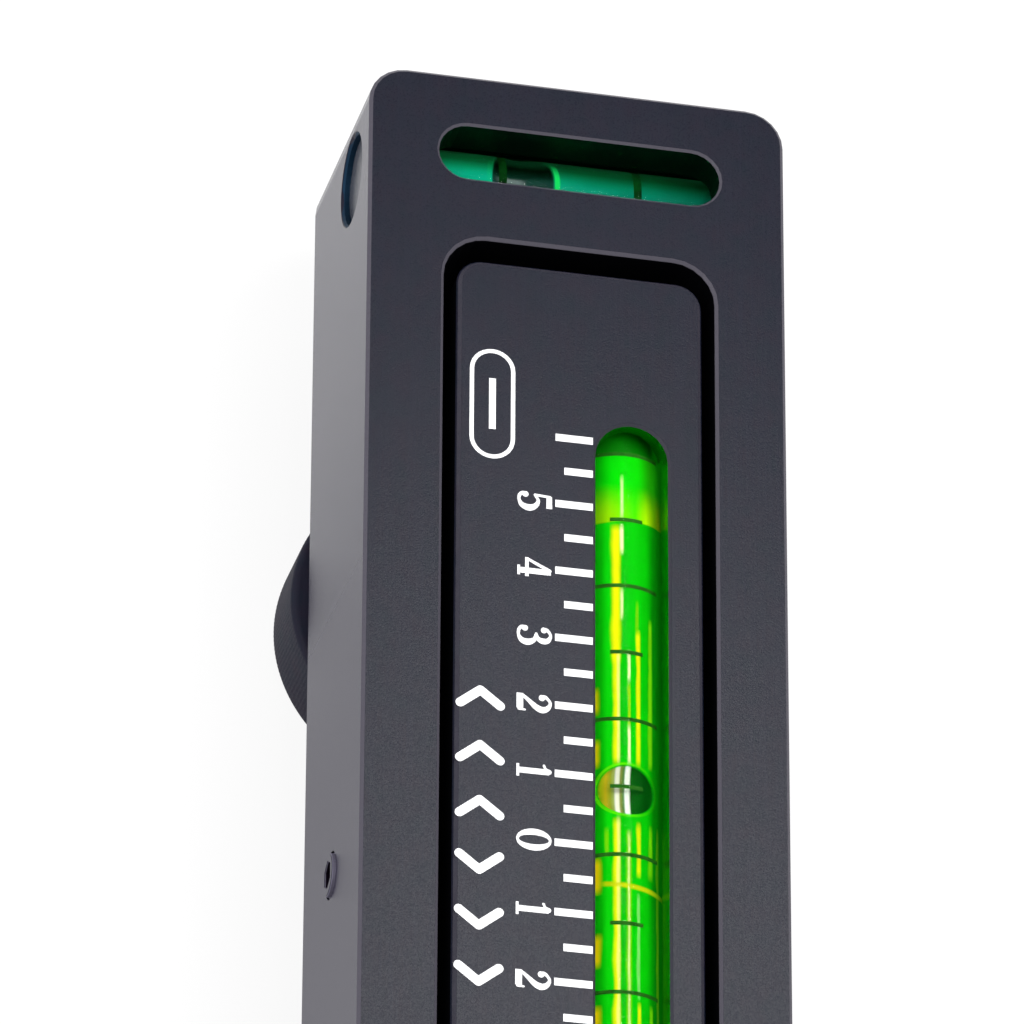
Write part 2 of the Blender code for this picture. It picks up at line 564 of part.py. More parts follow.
def make_knob(colour):
    """The dished, knurled knob with its hub, bored for the lead screw."""
    rim_inner = KNOB_RADIUS - KNOB_RIM_WIDTH
    bore = SPINDLE_RADIUS + FIT_GAP
    profile = [
        (HUB_TOP, bore, 0.0),
        (HUB_TOP, KNOB_HUB_RADIUS, 0.0),
        (KNOB_TOP, KNOB_HUB_RADIUS, 0.0),
        (KNOB_TOP, KNOB_RADIUS - KNOB_EDGE, 0.0),
        (KNOB_TOP - KNOB_EDGE, KNOB_RADIUS, KNURL_DEPTH),
        (KNOB_BOTTOM + KNOB_EDGE, KNOB_RADIUS, KNURL_DEPTH),
        (KNOB_BOTTOM, KNOB_RADIUS - KNOB_EDGE, 0.0),
        (KNOB_BOTTOM, rim_inner, 0.0),
        (DISH_HEIGHT, rim_inner - KNOB_DISH_SLOPE, 0.0),
        (DISH_HEIGHT, bore, 0.0),
    ]
    rings = [[(x, y, height) for x, y in knurled_circle(radius, depth)]
             for height, radius, depth in profile]
    knob = skin("adjusting_knob", rings, along((0, 0, 1), (SPINDLE_OFFSET, SPINDLE_PLACE, 0.0)),
                closed=True)
    grub_height = (KNOB_TOP + DISH_HEIGHT) / 2
    placing = along((0, 1, 0), (SPINDLE_OFFSET, SPINDLE_PLACE, grub_height))
    cut(knob, revolve("grub_space", [
        (0.0, GRUB_RADIUS + FIT_GAP), (KNOB_RADIUS + CUT_OVERRUN, GRUB_RADIUS + FIT_GAP),
    ], placing, SMALL_SIDES))
    dress([knob], colour)
    return knob, placing


def make_grub_screw(placing, colour):
    """The socket grub screw that locks the knob on the lead screw."""
    tip = SPINDLE_RADIUS + FIT_GAP
    grub = revolve("knob_grub_screw", [
        (tip, GRUB_RADIUS - SCREW_TIP_EDGE), (tip + SCREW_TIP_EDGE, GRUB_RADIUS),
        (tip + GRUB_LENGTH, GRUB_RADIUS)], placing, SMALL_SIDES)
    cut(grub, socket_cutter("grub_socket", GRUB_SOCKET_ACROSS, tip + GRUB_LENGTH - GRUB_SOCKET_DEPTH,
                            tip + GRUB_LENGTH + CUT_OVERRUN, placing))
    dress([grub], colour)
    return grub


def make_lead_screw(colour):
    """The lead screw: knob end, journal in the bar, clip groove, and thread in the nut."""
    placing = along((0, 0, 1), (SPINDLE_OFFSET, SPINDLE_PLACE, 0.0))
    tip = CARRIER_BOTTOM + SPINDLE_TIP_REACH
    neck = SPINDLE_RADIUS - GROOVE_DEPTH
    groove_top = CLIP_BOTTOM + CLIP_THICKNESS + FIT_GAP
    foot = DISH_HEIGHT + SPINDLE_HEAD_SET
    screw = revolve("lead_screw", [
        (foot, SPINDLE_RADIUS), (POCKET_BOTTOM, SPINDLE_RADIUS), (POCKET_BOTTOM, neck),
        (groove_top, neck), (groove_top, SPINDLE_RADIUS), (tip - SCREW_TIP_EDGE, SPINDLE_RADIUS),
        (tip, SPINDLE_RADIUS - SCREW_TIP_EDGE)], placing)
    cut(screw, slot_cutter("lead_screw_slot", SPINDLE_RADIUS + CUT_OVERRUN, SPINDLE_SLOT_WIDTH,
                           foot - CUT_OVERRUN, foot + SPINDLE_SLOT_DEPTH, placing))
    dress([screw], colour)
    return screw


def make_clip(colour):
    """The open clip in the lead screw's groove, which stops the screw from backing out."""
    inner = SPINDLE_RADIUS - GROOVE_DEPTH + FIT_GAP
    start = CLIP_MOUTH / 2
    sweep = FULL_TURN - CLIP_MOUTH
    angles = [start + sweep * step / CLIP_STEPS for step in range(CLIP_STEPS + 1)]
    outline = [(CLIP_RADIUS * math.cos(angle), CLIP_RADIUS * math.sin(angle)) for angle in angles]
    outline += [(inner * math.cos(angle), inner * math.sin(angle)) for angle in reversed(angles)]
    clip = skin("retaining_clip", [[(x, y, height) for x, y in outline]
                                   for height in (CLIP_BOTTOM, CLIP_BOTTOM + CLIP_THICKNESS)],
                along((0, 0, 1), (SPINDLE_OFFSET, SPINDLE_PLACE, 0.0)))
    dress([clip], colour)
    return clip


def make_washer(colour):
    """The plain friction washer between the bar and the knob's hub."""
    bore = SPINDLE_RADIUS + FIT_GAP
    washer = revolve("friction_washer", [
        (WASHER_TOP, bore), (WASHER_TOP, WASHER_RADIUS),
        (WASHER_TOP - WASHER_THICKNESS, WASHER_RADIUS), (WASHER_TOP - WASHER_THICKNESS, bore),
    ], along((0, 0, 1), (SPINDLE_OFFSET, SPINDLE_PLACE, 0.0)), bored=True)
    dress([washer], colour)
    return washer


def make_nut(colour):
    """The threaded insert in the carrier that the lead screw drives."""
    bore = SPINDLE_RADIUS + FIT_GAP
    nut = revolve("lift_nut", [
        (CARRIER_BOTTOM, bore), (CARRIER_BOTTOM, NUT_RADIUS),
        (CARRIER_BOTTOM + NUT_HEIGHT, NUT_RADIUS), (CARRIER_BOTTOM + NUT_HEIGHT, bore),
    ], along((0, 0, 1), (SPINDLE_OFFSET, SPINDLE_PLACE, 0.0)), bored=True)
    dress([nut], colour)
    return nut


def make_spring(colour):
    """The compression spring: one round wire carried along a helix between its two seats."""
    low = POCKET_BOTTOM - SPRING_BODY_DEPTH + FIT_GAP + SPRING_WIRE_RADIUS
    high = CARRIER_BOTTOM + SPRING_CARRIER_DEPTH - FIT_GAP - SPRING_WIRE_RADIUS
    steps = SPRING_TURNS * SPRING_TURN_POINTS
    rings = []
    for step in range(steps + 1):
        turn = FULL_TURN * step / SPRING_TURN_POINTS
        height = low + (high - low) * step / steps
        ring = []
        for x, y in circle(SPRING_WIRE_RADIUS, SPRING_WIRE_SIDES):
            reach = SPRING_COIL_RADIUS + x
            ring.append((reach * math.cos(turn), reach * math.sin(turn), height + y))
        rings.append(ring)
    spring = skin("backlash_spring", rings, along((0, 0, 1), (SPINDLE_OFFSET, SPRING_PLACE, 0.0)))
    dress([spring], colour)
    least_gap = (high - low) / SPRING_TURNS - 2 * SPRING_WIRE_RADIUS
    print(f"spring: least gap between turns {least_gap / MM:.2f} mm")
    return spring


def make_magnets(cup_colour, magnet_colour, screw_colour):
    """Two pot magnets in the hub face: a steel cup, a ring magnet and a countersunk screw."""
    cup_end = MAGNET_CUP_SET + MAGNET_CUP_DEPTH
    cup_floor = cup_end - MAGNET_CUP_BASE
    inner = MAGNET_CUP_RADIUS - MAGNET_CUP_WALL
    bore = MAGNET_SCREW_RADIUS + FIT_GAP
    head_top = MAGNET_SCREW_HEAD_SET
    head_end = head_top + MAGNET_SCREW_HEAD_HEIGHT
    seat_radius = MAGNET_SCREW_HEAD_RADIUS + FIT_GAP
    for number, sign in ((1, -1), (2, 1)):
        placing = along((0, 1, 0), (sign * MAGNET_OFFSET, 0.0, 0.0))
        cup = revolve(f"magnet_cup_{number}", [
            (cup_end, bore), (cup_end, MAGNET_CUP_RADIUS), (MAGNET_CUP_SET, MAGNET_CUP_RADIUS),
            (MAGNET_CUP_SET, inner), (cup_floor, inner), (cup_floor, bore)], placing, bored=True)
        magnet = revolve(f"ring_magnet_{number}", [
            (MAGNET_CUP_SET, inner - FIT_GAP), (MAGNET_CUP_SET, seat_radius),
            (head_top, seat_radius), (head_end, bore),
            (cup_floor - FIT_GAP, bore), (cup_floor - FIT_GAP, inner - FIT_GAP)],
            placing, bored=True)
        screw = revolve(f"magnet_screw_{number}", [
            (head_top, MAGNET_SCREW_HEAD_RADIUS), (head_end, MAGNET_SCREW_RADIUS),
            (head_top + MAGNET_SCREW_LENGTH - SCREW_TIP_EDGE, MAGNET_SCREW_RADIUS),
            (head_top + MAGNET_SCREW_LENGTH, MAGNET_SCREW_RADIUS - SCREW_TIP_EDGE)],
            placing, SMALL_SIDES)
        cut(screw, socket_cutter(f"magnet_socket_{number}", MAGNET_SOCKET_ACROSS,
                                 head_top - CUT_OVERRUN, head_top + MAGNET_SOCKET_DEPTH, placing))
        dress([cup], cup_colour)
        dress([magnet], magnet_colour)
        dress([screw], screw_colour)


def main():
    for leftover in list(bpy.data.objects):
        bpy.data.objects.remove(leftover)

    black_anodised = finish("black_anodised", (0.030, 0.031, 0.040), 0.42, 0.35)
    clear_glass = finish("vial_glass", (0.62, 0.95, 0.42), 0.05, 0.0, 0.35)
    camber_liquid = finish("camber_liquid", (0.06, 0.72, 0.03), 0.15)
    level_liquid = finish("level_liquid", (0.01, 0.36, 0.22), 0.15)
    vial_plug = finish("vial_plug", (0.02, 0.16, 0.10), 0.35)
    black_steel = finish("black_steel", (0.025, 0.025, 0.028), 0.35, 0.8)
    bright_steel = finish("bright_steel", (0.62, 0.63, 0.65), 0.28, 1.0)
    nickel = finish("nickel_plate", (0.70, 0.69, 0.66), 0.22, 1.0)
    dark_magnet = finish("ring_magnet", (0.10, 0.10, 0.11), 0.40, 0.9)
    brass = finish("brass", (0.72, 0.52, 0.22), 0.30, 1.0)
    nylon = finish("nylon", (0.78, 0.76, 0.70), 0.50)

    make_body(black_anodised)
    make_level_vial(clear_glass, level_liquid, vial_plug)
    make_level_bore_plug(black_anodised)
    make_pivot_screws(black_steel)
    make_washer(nylon)
    make_magnets(nickel, dark_magnet, bright_steel)
    make_spring(bright_steel)

    tilt_axis = (0.0, MID_LENGTH, 0.0)
    tilting = pivot_guide("carrier_axis", tilt_axis)
    for piece in [make_carrier(black_anodised), make_bore_plug(brass), make_nut(brass),
                  *make_camber_vial(clear_glass, camber_liquid, vial_plug)]:
        hang(piece, tilting, tilt_axis)

    knob_axis = (SPINDLE_OFFSET, SPINDLE_PLACE, BACK)
    turning = pivot_guide("knob_axis", knob_axis)
    knob, grub_placing = make_knob(black_anodised)
    for piece in [knob, make_grub_screw(grub_placing, black_steel), make_lead_screw(bright_steel),
                  make_clip(bright_steel)]:
        hang(piece, turning, knob_axis)


main()
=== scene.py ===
"""Looks of the camber gauge: anodised bar, printed scale, two green vials and a knurled knob.

Every operator makes or dresses one group of pieces round the packed frame.  New surfaces are
worked out with numpy as grids of points; lengths are in metres and angles in radians.
"""

import math

import bmesh
import bpy
import numpy as np
from bpy.props import FloatProperty, FloatVectorProperty, IntProperty, PointerProperty
from mathutils import Matrix, Vector


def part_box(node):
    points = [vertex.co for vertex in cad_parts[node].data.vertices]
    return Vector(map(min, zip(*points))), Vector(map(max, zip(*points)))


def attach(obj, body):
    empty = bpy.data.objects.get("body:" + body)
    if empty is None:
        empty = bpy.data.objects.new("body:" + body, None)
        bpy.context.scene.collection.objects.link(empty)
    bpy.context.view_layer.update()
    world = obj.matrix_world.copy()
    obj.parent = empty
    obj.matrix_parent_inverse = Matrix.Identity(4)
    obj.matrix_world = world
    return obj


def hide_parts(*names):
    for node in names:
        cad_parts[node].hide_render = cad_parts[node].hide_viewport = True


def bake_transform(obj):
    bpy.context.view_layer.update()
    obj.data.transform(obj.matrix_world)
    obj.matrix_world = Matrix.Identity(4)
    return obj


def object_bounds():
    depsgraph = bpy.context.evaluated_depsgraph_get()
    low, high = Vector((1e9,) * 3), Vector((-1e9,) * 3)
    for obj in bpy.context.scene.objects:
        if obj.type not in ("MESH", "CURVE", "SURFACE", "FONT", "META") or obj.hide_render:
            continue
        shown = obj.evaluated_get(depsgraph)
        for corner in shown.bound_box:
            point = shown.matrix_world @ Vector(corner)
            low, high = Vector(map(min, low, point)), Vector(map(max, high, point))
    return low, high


bl_info = {
    "name": "Camber Gauge Looks",
    "version": (1, 0, 0),
    "blender": (4, 5, 0),
    "location": "View3D > Sidebar > Camber Gauge",
    "description": "Dresses the camber gauge's frame with its finishes, scale and vials",
    "category": "Object",
}

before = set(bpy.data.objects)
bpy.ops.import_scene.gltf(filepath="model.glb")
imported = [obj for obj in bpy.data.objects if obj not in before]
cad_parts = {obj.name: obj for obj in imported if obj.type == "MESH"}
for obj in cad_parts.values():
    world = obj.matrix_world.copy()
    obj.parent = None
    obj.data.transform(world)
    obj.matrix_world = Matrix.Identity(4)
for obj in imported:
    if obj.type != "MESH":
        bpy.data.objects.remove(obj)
CAD_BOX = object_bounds()

MM = 0.001
FULL_TURN = 2.0 * math.pi
SMOOTH_ANGLE = math.radians(32.0)

# Places read from the frame
BAR_LOW, BAR_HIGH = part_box("body")
CARRIER_LOW, CARRIER_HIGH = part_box("vial_carrier")
CAMBER_LOW, CAMBER_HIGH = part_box("camber_vial_tube")
LEVEL_LOW, LEVEL_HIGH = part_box("level_vial_tube")
KNOB_LOW, KNOB_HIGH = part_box("adjusting_knob")
BAR_MIDDLE = (BAR_LOW + BAR_HIGH) / 2
CARRIER_MIDDLE = (CARRIER_LOW + CARRIER_HIGH) / 2
CAMBER_MIDDLE = (CAMBER_LOW + CAMBER_HIGH) / 2
LEVEL_MIDDLE = (LEVEL_LOW + LEVEL_HIGH) / 2
KNOB_MIDDLE = (KNOB_LOW + KNOB_HIGH) / 2
ZERO_PLACE = BAR_MIDDLE.y
PANEL_FACE = CARRIER_HIGH.z
PANEL_MIDDLE = CARRIER_MIDDLE.x

# Half the width of the panel's window over the long vial
WINDOW_HALF_WIDTH = 3.625 * MM


# Property groups: the sizes and colours that a user would change

class ScaleSettings(bpy.types.PropertyGroup):
    """The printed degree scale on the carrier."""

    degree_pitch: FloatProperty(
        name="Degree Pitch", description="Distance along the bar from one whole degree to the next",
        default=7.15 * MM, unit="LENGTH")
    degrees: IntProperty(
        name="Degrees", description="Whole degrees printed on each side of zero", default=6)
    ink_thickness: FloatProperty(
        name="Ink Thickness", description="Height of the white print over the panel",
        default=0.03 * MM, unit="LENGTH")
    tick_end: FloatProperty(
        name="Tick End", description="Where the ticks end, to the right of the carrier's middle",
        default=1.27 * MM, unit="LENGTH")
    long_tick: FloatProperty(
        name="Long Tick", description="Length of a whole degree's tick", default=3.72 * MM,
        unit="LENGTH")
    short_tick: FloatProperty(
        name="Short Tick", description="Length of a half degree's tick", default=2.84 * MM,
        unit="LENGTH")
    tick_width: FloatProperty(
        name="Tick Width", description="Width of a tick along the bar", default=0.77 * MM,
        unit="LENGTH")
    figure_height: FloatProperty(
        name="Figure Height", description="Height of the degree figures", default=3.42 * MM,
        unit="LENGTH")
    figure_weight: FloatProperty(
        name="Figure Weight", description="Boldness of the figures' strokes", default=1.12)
    figure_base: FloatProperty(
        name="Figure Base", description="Foot of the figures, to the right of the carrier's middle",
        default=-6.17 * MM, unit="LENGTH")
    ink_colour: FloatVectorProperty(
        name="Ink Colour", description="Colour of the print", default=(0.74, 0.74, 0.75),
        subtype="COLOR")


class VialSettings(bpy.types.PropertyGroup):
    """The two bubble vials."""

    glass_wall: FloatProperty(
        name="Glass Wall", description="Wall of the clear shell over the liquid", default=0.28 * MM,
        unit="LENGTH")
    liquid_gap: FloatProperty(
        name="Liquid Gap", description="Space between the shell and the liquid", default=0.03 * MM,
        unit="LENGTH")
    ring_width: FloatProperty(
        name="Ring Width", description="Width of a dark ring on a vial", default=0.40 * MM,
        unit="LENGTH")
    ring_pitch: FloatProperty(
        name="Ring Pitch", description="Distance from one ring of the long vial to the next",
        default=7.09 * MM, unit="LENGTH")
    ring_shift: FloatProperty(
        name="Ring Shift", description="Distance of the long vial's middle ring from zero",
        default=0.5 * MM, unit="LENGTH")
    camber_bubble: FloatProperty(
        name="Camber Bubble", description="Distance of the long vial's bubble from zero",
        default=7.3 * MM, unit="LENGTH")
    level_bubble: FloatProperty(
        name="Level Bubble", description="Distance of the cross vial's bubble from its middle",
        default=-4.77 * MM, unit="LENGTH")
    level_ring: FloatProperty(
        name="Level Ring", description="Distance of each ring of the cross vial from its middle",
        default=6.85 * MM, unit="LENGTH")
    camber_colour: FloatVectorProperty(
        name="Camber Liquid", description="Main colour of the long vial's liquid",
        default=(0.003, 0.52, 0.003), subtype="COLOR")
    level_colour: FloatVectorProperty(
        name="Level Liquid", description="Main colour of the cross vial's liquid",
        default=(0.002, 0.36, 0.21), subtype="COLOR")


class KnobSettings(bpy.types.PropertyGroup):
    """The zeroing knob behind the bar."""

    knurl_teeth: IntProperty(
        name="Knurl Teeth", description="Straight knurls round the knob's rim", default=200)
    knurl_depth: FloatProperty(
        name="Knurl Depth", description="Depth of a knurl", default=0.04 * MM, unit="LENGTH")
    edge: FloatProperty(
        name="Edge", description="Rounded edge of the knob", default=0.8 * MM, unit="LENGTH")
    rim: FloatProperty(
        name="Rim", description="Width of the flat rim round the knob's dish", default=3.6 * MM,
        unit="LENGTH")


class FinishSettings(bpy.types.PropertyGroup):
    """Finishes that several pieces share."""

    anodised_colour: FloatVectorProperty(
        name="Anodised Colour", description="Colour of the black anodised aluminium",
        default=(0.0045, 0.0051, 0.0118), subtype="COLOR")
    # Painted shade: this colour, shining as metal, darkens the walls deep in the bar's recesses where
    # shade falls
    recess_colour: FloatVectorProperty(
        name="Recess Painted Shade", description="Colour deep inside the bar's recesses",
        default=(0.0030, 0.0032, 0.0045), subtype="COLOR")
    # Rubbed wear with a painted highlight: this paler colour goes to the bar's edges and, as a painted
    # highlight, to the small chamfers round the front's openings
    edge_colour: FloatVectorProperty(
        name="Edge Wear And Highlight", description="Colour of the small chamfers round the front's openings",
        default=(0.076, 0.071, 0.088), subtype="COLOR")
    anodised_roughness: FloatProperty(
        name="Anodised Roughness", description="Roughness of the black anodised aluminium",
        default=0.31, min=0.0, max=1.0)
    grain_size: FloatProperty(
        name="Grain Size", description="Size of the blasted surface's grain", default=0.16 * MM,
        unit="LENGTH")


class StageSettings(bpy.types.PropertyGroup):
    """Floor, lamps and camera."""

    floor_colour: FloatVectorProperty(
        name="Floor Colour", description="Colour of the floor", default=(0.9, 0.9, 0.9),
        subtype="COLOR")
    lens: FloatProperty(
        name="Lens", description="Focal length of the camera in millimetres", default=295.7)
    sky: FloatProperty(
        name="Sky", description="Strength of the pale surroundings on the surfaces", default=0.62)


SETTINGS = (("gauge_scale", ScaleSettings), ("gauge_vials", VialSettings),
            ("gauge_knob", KnobSettings), ("gauge_finish", FinishSettings),
            ("gauge_stage", StageSettings))


def new_object(name, data):
    """An object at the origin, in the scene's own collection."""
    thing = bpy.data.objects.new(name, data)
    bpy.context.scene.collection.objects.link(thing)
    return thing


# Surfaces

# A soft corner takes at most one part in this many of each side beside it
CORNER_ROOM = 2.1
TURNED_SIDES = 96
TURNED_EDGE = 0.12 * MM


def put(points, axis, origin):
    """Points given along a local +Z, set along an axis of the row frame."""
    turn = Vector((0.0, 0.0, 1.0)).rotation_difference(Vector(axis)).to_matrix()
    return points @ np.array(turn).T + np.array(origin, float)


def full_circle(count):
    """Evenly spaced angles of one full turn."""
    return FULL_TURN * np.arange(count) / count


def around(radius, angle, height):
    """Points round local Z: x = r cos a, y = r sin a, z = height, as an array of triples."""
    return np.stack(np.broadcast_arrays(radius * np.cos(angle), radius * np.sin(angle), height),
                    axis=-1)


class Shell:
    """Grids of points and their caps, gathered into one mesh."""

    def __init__(self):
        self.points = []
        self.faces = []
        self.count = 0

    def grid(self, points, wrap_rows=False, caps=False):
        """Quads between the rows and columns of a (rows, columns, 3) grid.

        Every row is closed, and the last row joins the first where rows wrap.  Caps close the
        first and last rows with one face each.
        """
        rows, columns = points.shape[:2]
        index = self.count + np.arange(rows * columns).reshape(rows, columns)
        if wrap_rows:
            index = np.concatenate([index, index[:1]])
        index = np.concatenate([index, index[:, :1]], axis=1)
        quads = np.stack([index[:-1, :-1], index[:-1, 1:], index[1:, 1:], index[1:, :-1]], axis=-1)
        self.faces += quads.reshape(-1, 4).tolist()
        if caps:
            self.faces.append(index[0, :columns][::-1].tolist())
            self.faces.append(index[-1, :columns].tolist())
        self.points.append(points.reshape(-1, 3))
        self.count += rows * columns
        return self

    def finish(self, name, material, body, slot, stands_for=(), marks=None, smooth=True):
        """Make the mesh an object that rides on a body, if one is given, and takes a material.

        marks maps an attribute's name to one number for each point.
        """
        mesh = bpy.data.meshes.new(name)
        mesh.from_pydata(np.concatenate(self.points).tolist(), [], self.faces)
        for mark_name, values in (marks or {}).items():
            mark = mesh.attributes.new(mark_name, "FLOAT", "POINT")
            mark.data.foreach_set("value", np.asarray(values, np.float32).ravel())
        builder = bmesh.new()
        builder.from_mesh(mesh)
        bmesh.ops.recalc_face_normals(builder, faces=builder.faces)
        builder.to_mesh(mesh)
        builder.free()
        if smooth:
            mesh.shade_smooth()
            mesh.set_sharp_from_angle(angle=SMOOTH_ANGLE)
        piece = new_object(name, mesh)
        mesh.materials.append(material)
        if body:
            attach(piece, body)
        if stands_for:
            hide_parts(*stands_for)
        return piece


def softened(profile, radius, steps=4):
    """A closed profile with every corner cut back and turned into an arc.

    Each corner runs from a point one radius before it to one radius after it along a
    quadratic curve whose middle control point is the corner itself.
    """
    corners = np.asarray(profile, float)
    before = np.roll(corners, 1, axis=0) - corners
    after = np.roll(corners, -1, axis=0) - corners
    reach_before = np.linalg.norm(before, axis=1, keepdims=True)
    reach_after = np.linalg.norm(after, axis=1, keepdims=True)
    reach = np.minimum(radius, np.minimum(reach_before, reach_after) / CORNER_ROOM)
    start = corners + before / reach_before * reach
    end = corners + after / reach_after * reach
    share = np.linspace(0.0, 1.0, steps + 1)[None, :, None]
    arcs = ((1 - share) ** 2 * start[:, None] + 2 * share * (1 - share) * corners[:, None]
            + share ** 2 * end[:, None])
    return arcs.reshape(-1, 2)


def revolve(profile, sides):
    """(height, radius) pairs turned round local Z."""
    profile = np.asarray(profile, float)
    return around(profile[:, 1:], full_circle(sides), profile[:, :1])


def sleeve(half_length, inner, radius):
    """Profile of a plain tube, as (height, radius) pairs."""
    return [(-half_length, inner), (-half_length, radius), (half_length, radius), (half_length, inner)]


def turned_piece(node, profile, axis, origin, finish, body, slot):
    """A turned piece in its solid's place, from a closed profile of (height, radius) pairs."""
    points = put(revolve(softened(profile, TURNED_EDGE), TURNED_SIDES), axis, origin)
    Shell().grid(points, wrap_rows=True).finish(node + "_turned", plain_finish(finish), body, slot,
                                                (node,))


# A screw's sides, its thread's rows for each turn, the edge of its socket, and the shares of
# their radius to which the tip and the socket's floor close and at which the floor ends
SCREW_SIDES = 72
THREAD_ROWS = 8
SOCKET_EDGE = 0.06 * MM
CLOSED_SHARE = 0.02
FLOOR_SHARE = 0.98


def hexagon_radius(angle, across_flats):
    """Distance from the middle to a hexagon's side in the direction of each angle."""
    sector = FULL_TURN / 6
    return across_flats / 2 / np.cos((angle + sector / 2) % sector - sector / 2)


def socket_screw(name, body, slot, material, node, axis, origin, levels, socket, thread):
    """A screw as one closed surface with a hexagon socket in its first end, then its thread.

    The rows run from the socket's floor up its wall, over the rim and down the outside to the
    tip. Between the thread's start and end, with a the share of a turn,
    r = crest - depth * (1 - 2 * |frac(height / pitch - a) - 1/2|), and the depth fades out over
    half a pitch at both ends.
    levels is (height, radius) from the rim to the tip; socket is (across flats, depth);
    thread is (start, end, depth, pitch).
    """
    across, socket_depth = socket
    start, end, thread_depth, pitch = thread
    levels = np.array(levels, float)
    turn = np.arange(SCREW_SIDES) / SCREW_SIDES
    inside = np.array([(socket_depth, CLOSED_SHARE, 0.0), (socket_depth, FLOOR_SHARE, 0.0),
                       (socket_depth, 1.0, 0.0), (SOCKET_EDGE, 1.0, 0.0), (0.0, 1.0, SOCKET_EDGE)])
    inside_radius = inside[:, 1:2] * hexagon_radius(FULL_TURN * turn, across) + inside[:, 2:3]
    height = np.union1d(levels[:, 0], np.arange(start, end, pitch / THREAD_ROWS))
    saw = 2 * np.abs((height[:, None] / pitch - turn) % 1.0 - 0.5)
    run = np.clip(np.minimum(height - start, end - height) / (pitch / 2), 0.0, 1.0)
    crest = np.interp(height, levels[:, 0], levels[:, 1])
    outside_radius = crest[:, None] - thread_depth * run[:, None] * (1 - saw)
    radius = np.concatenate([inside_radius, outside_radius, outside_radius[-1:] * CLOSED_SHARE])
    height = np.concatenate([inside[:, 0], height, levels[-1:, 0]])
    points = put(around(radius, FULL_TURN * turn, height[:, None]), axis, origin)
    Shell().grid(points, caps=True).finish(name, material, body, slot, (node,))


def smooth_path(knots, steps=8):
    """A Catmull-Rom curve through rows of knots, which may carry widths beside places.

    Each span blends its four nearest knots with the usual cubic weights.
    """
    knots = np.asarray(knots, float)
    padded = np.concatenate([2 * knots[:1] - knots[1:2], knots, 2 * knots[-1:] - knots[-2:-1]])
    share = (np.arange(steps) / steps)[:, None, None]
    a, b, c, d = padded[:-3], padded[1:-2], padded[2:-1], padded[3:]
    curve = 0.5 * (2 * b + (c - a) * share + (2 * a - 5 * b + 4 * c - d) * share ** 2
                   + (3 * b - a - 3 * c + d) * share ** 3)
    return np.concatenate([curve.transpose(1, 0, 2).reshape(-1, knots.shape[1]), knots[-1:]])


# Turn of a round stroke end, and the rings that it adds
CAP_TURN = math.radians(80.0)
CAP_RINGS = 4


def slab(path, heading, thickness):
    """Print along a path of (x, y, half width) on the panel, as a grid of four-cornered rings.

    Each ring stands square to its heading: left and right edges at the half width, on the
    panel's face and one thickness above it.
    """
    heading = heading / np.linalg.norm(heading, axis=1, keepdims=True)
    square = np.stack([-heading[:, 1], heading[:, 0]], axis=1) * path[:, 2:3]
    left, right = path[:, :2] + square, path[:, :2] - square
    low = np.full(len(path), PANEL_FACE)
    high = low + thickness
    corners = ((left, low), (right, low), (right, high), (left, high))
    return np.stack([np.column_stack(corner) for corner in corners], axis=1)


def ribbon(path, thickness, round_ends=False):
    """Print along an open path.  Round ends add part of a circle of rings at both ends."""
    path = np.asarray(path, float)
    if round_ends:
        turn = np.linspace(0.0, CAP_TURN, CAP_RINGS + 1)[1:, None]
        for end, beside in ((0, 1), (-1, -2)):
            heading = path[end, :2] - path[beside, :2]
            heading = heading / np.linalg.norm(heading)
            width = path[end, 2]
            cap = np.concatenate([path[end, :2] + heading * width * np.sin(turn),
                                  width * np.cos(turn)], axis=1)
            path = np.concatenate([cap[::-1], path]) if end == 0 else np.concatenate([path, cap])
    return slab(path, np.gradient(path[:, :2], axis=0), thickness)


def ring_of_print(path, thickness):
    """Print along a closed path, with headings that run on round the loop."""
    heading = np.roll(path[:, :2], -1, axis=0) - np.roll(path[:, :2], 1, axis=0)
    return slab(path, heading, thickness)


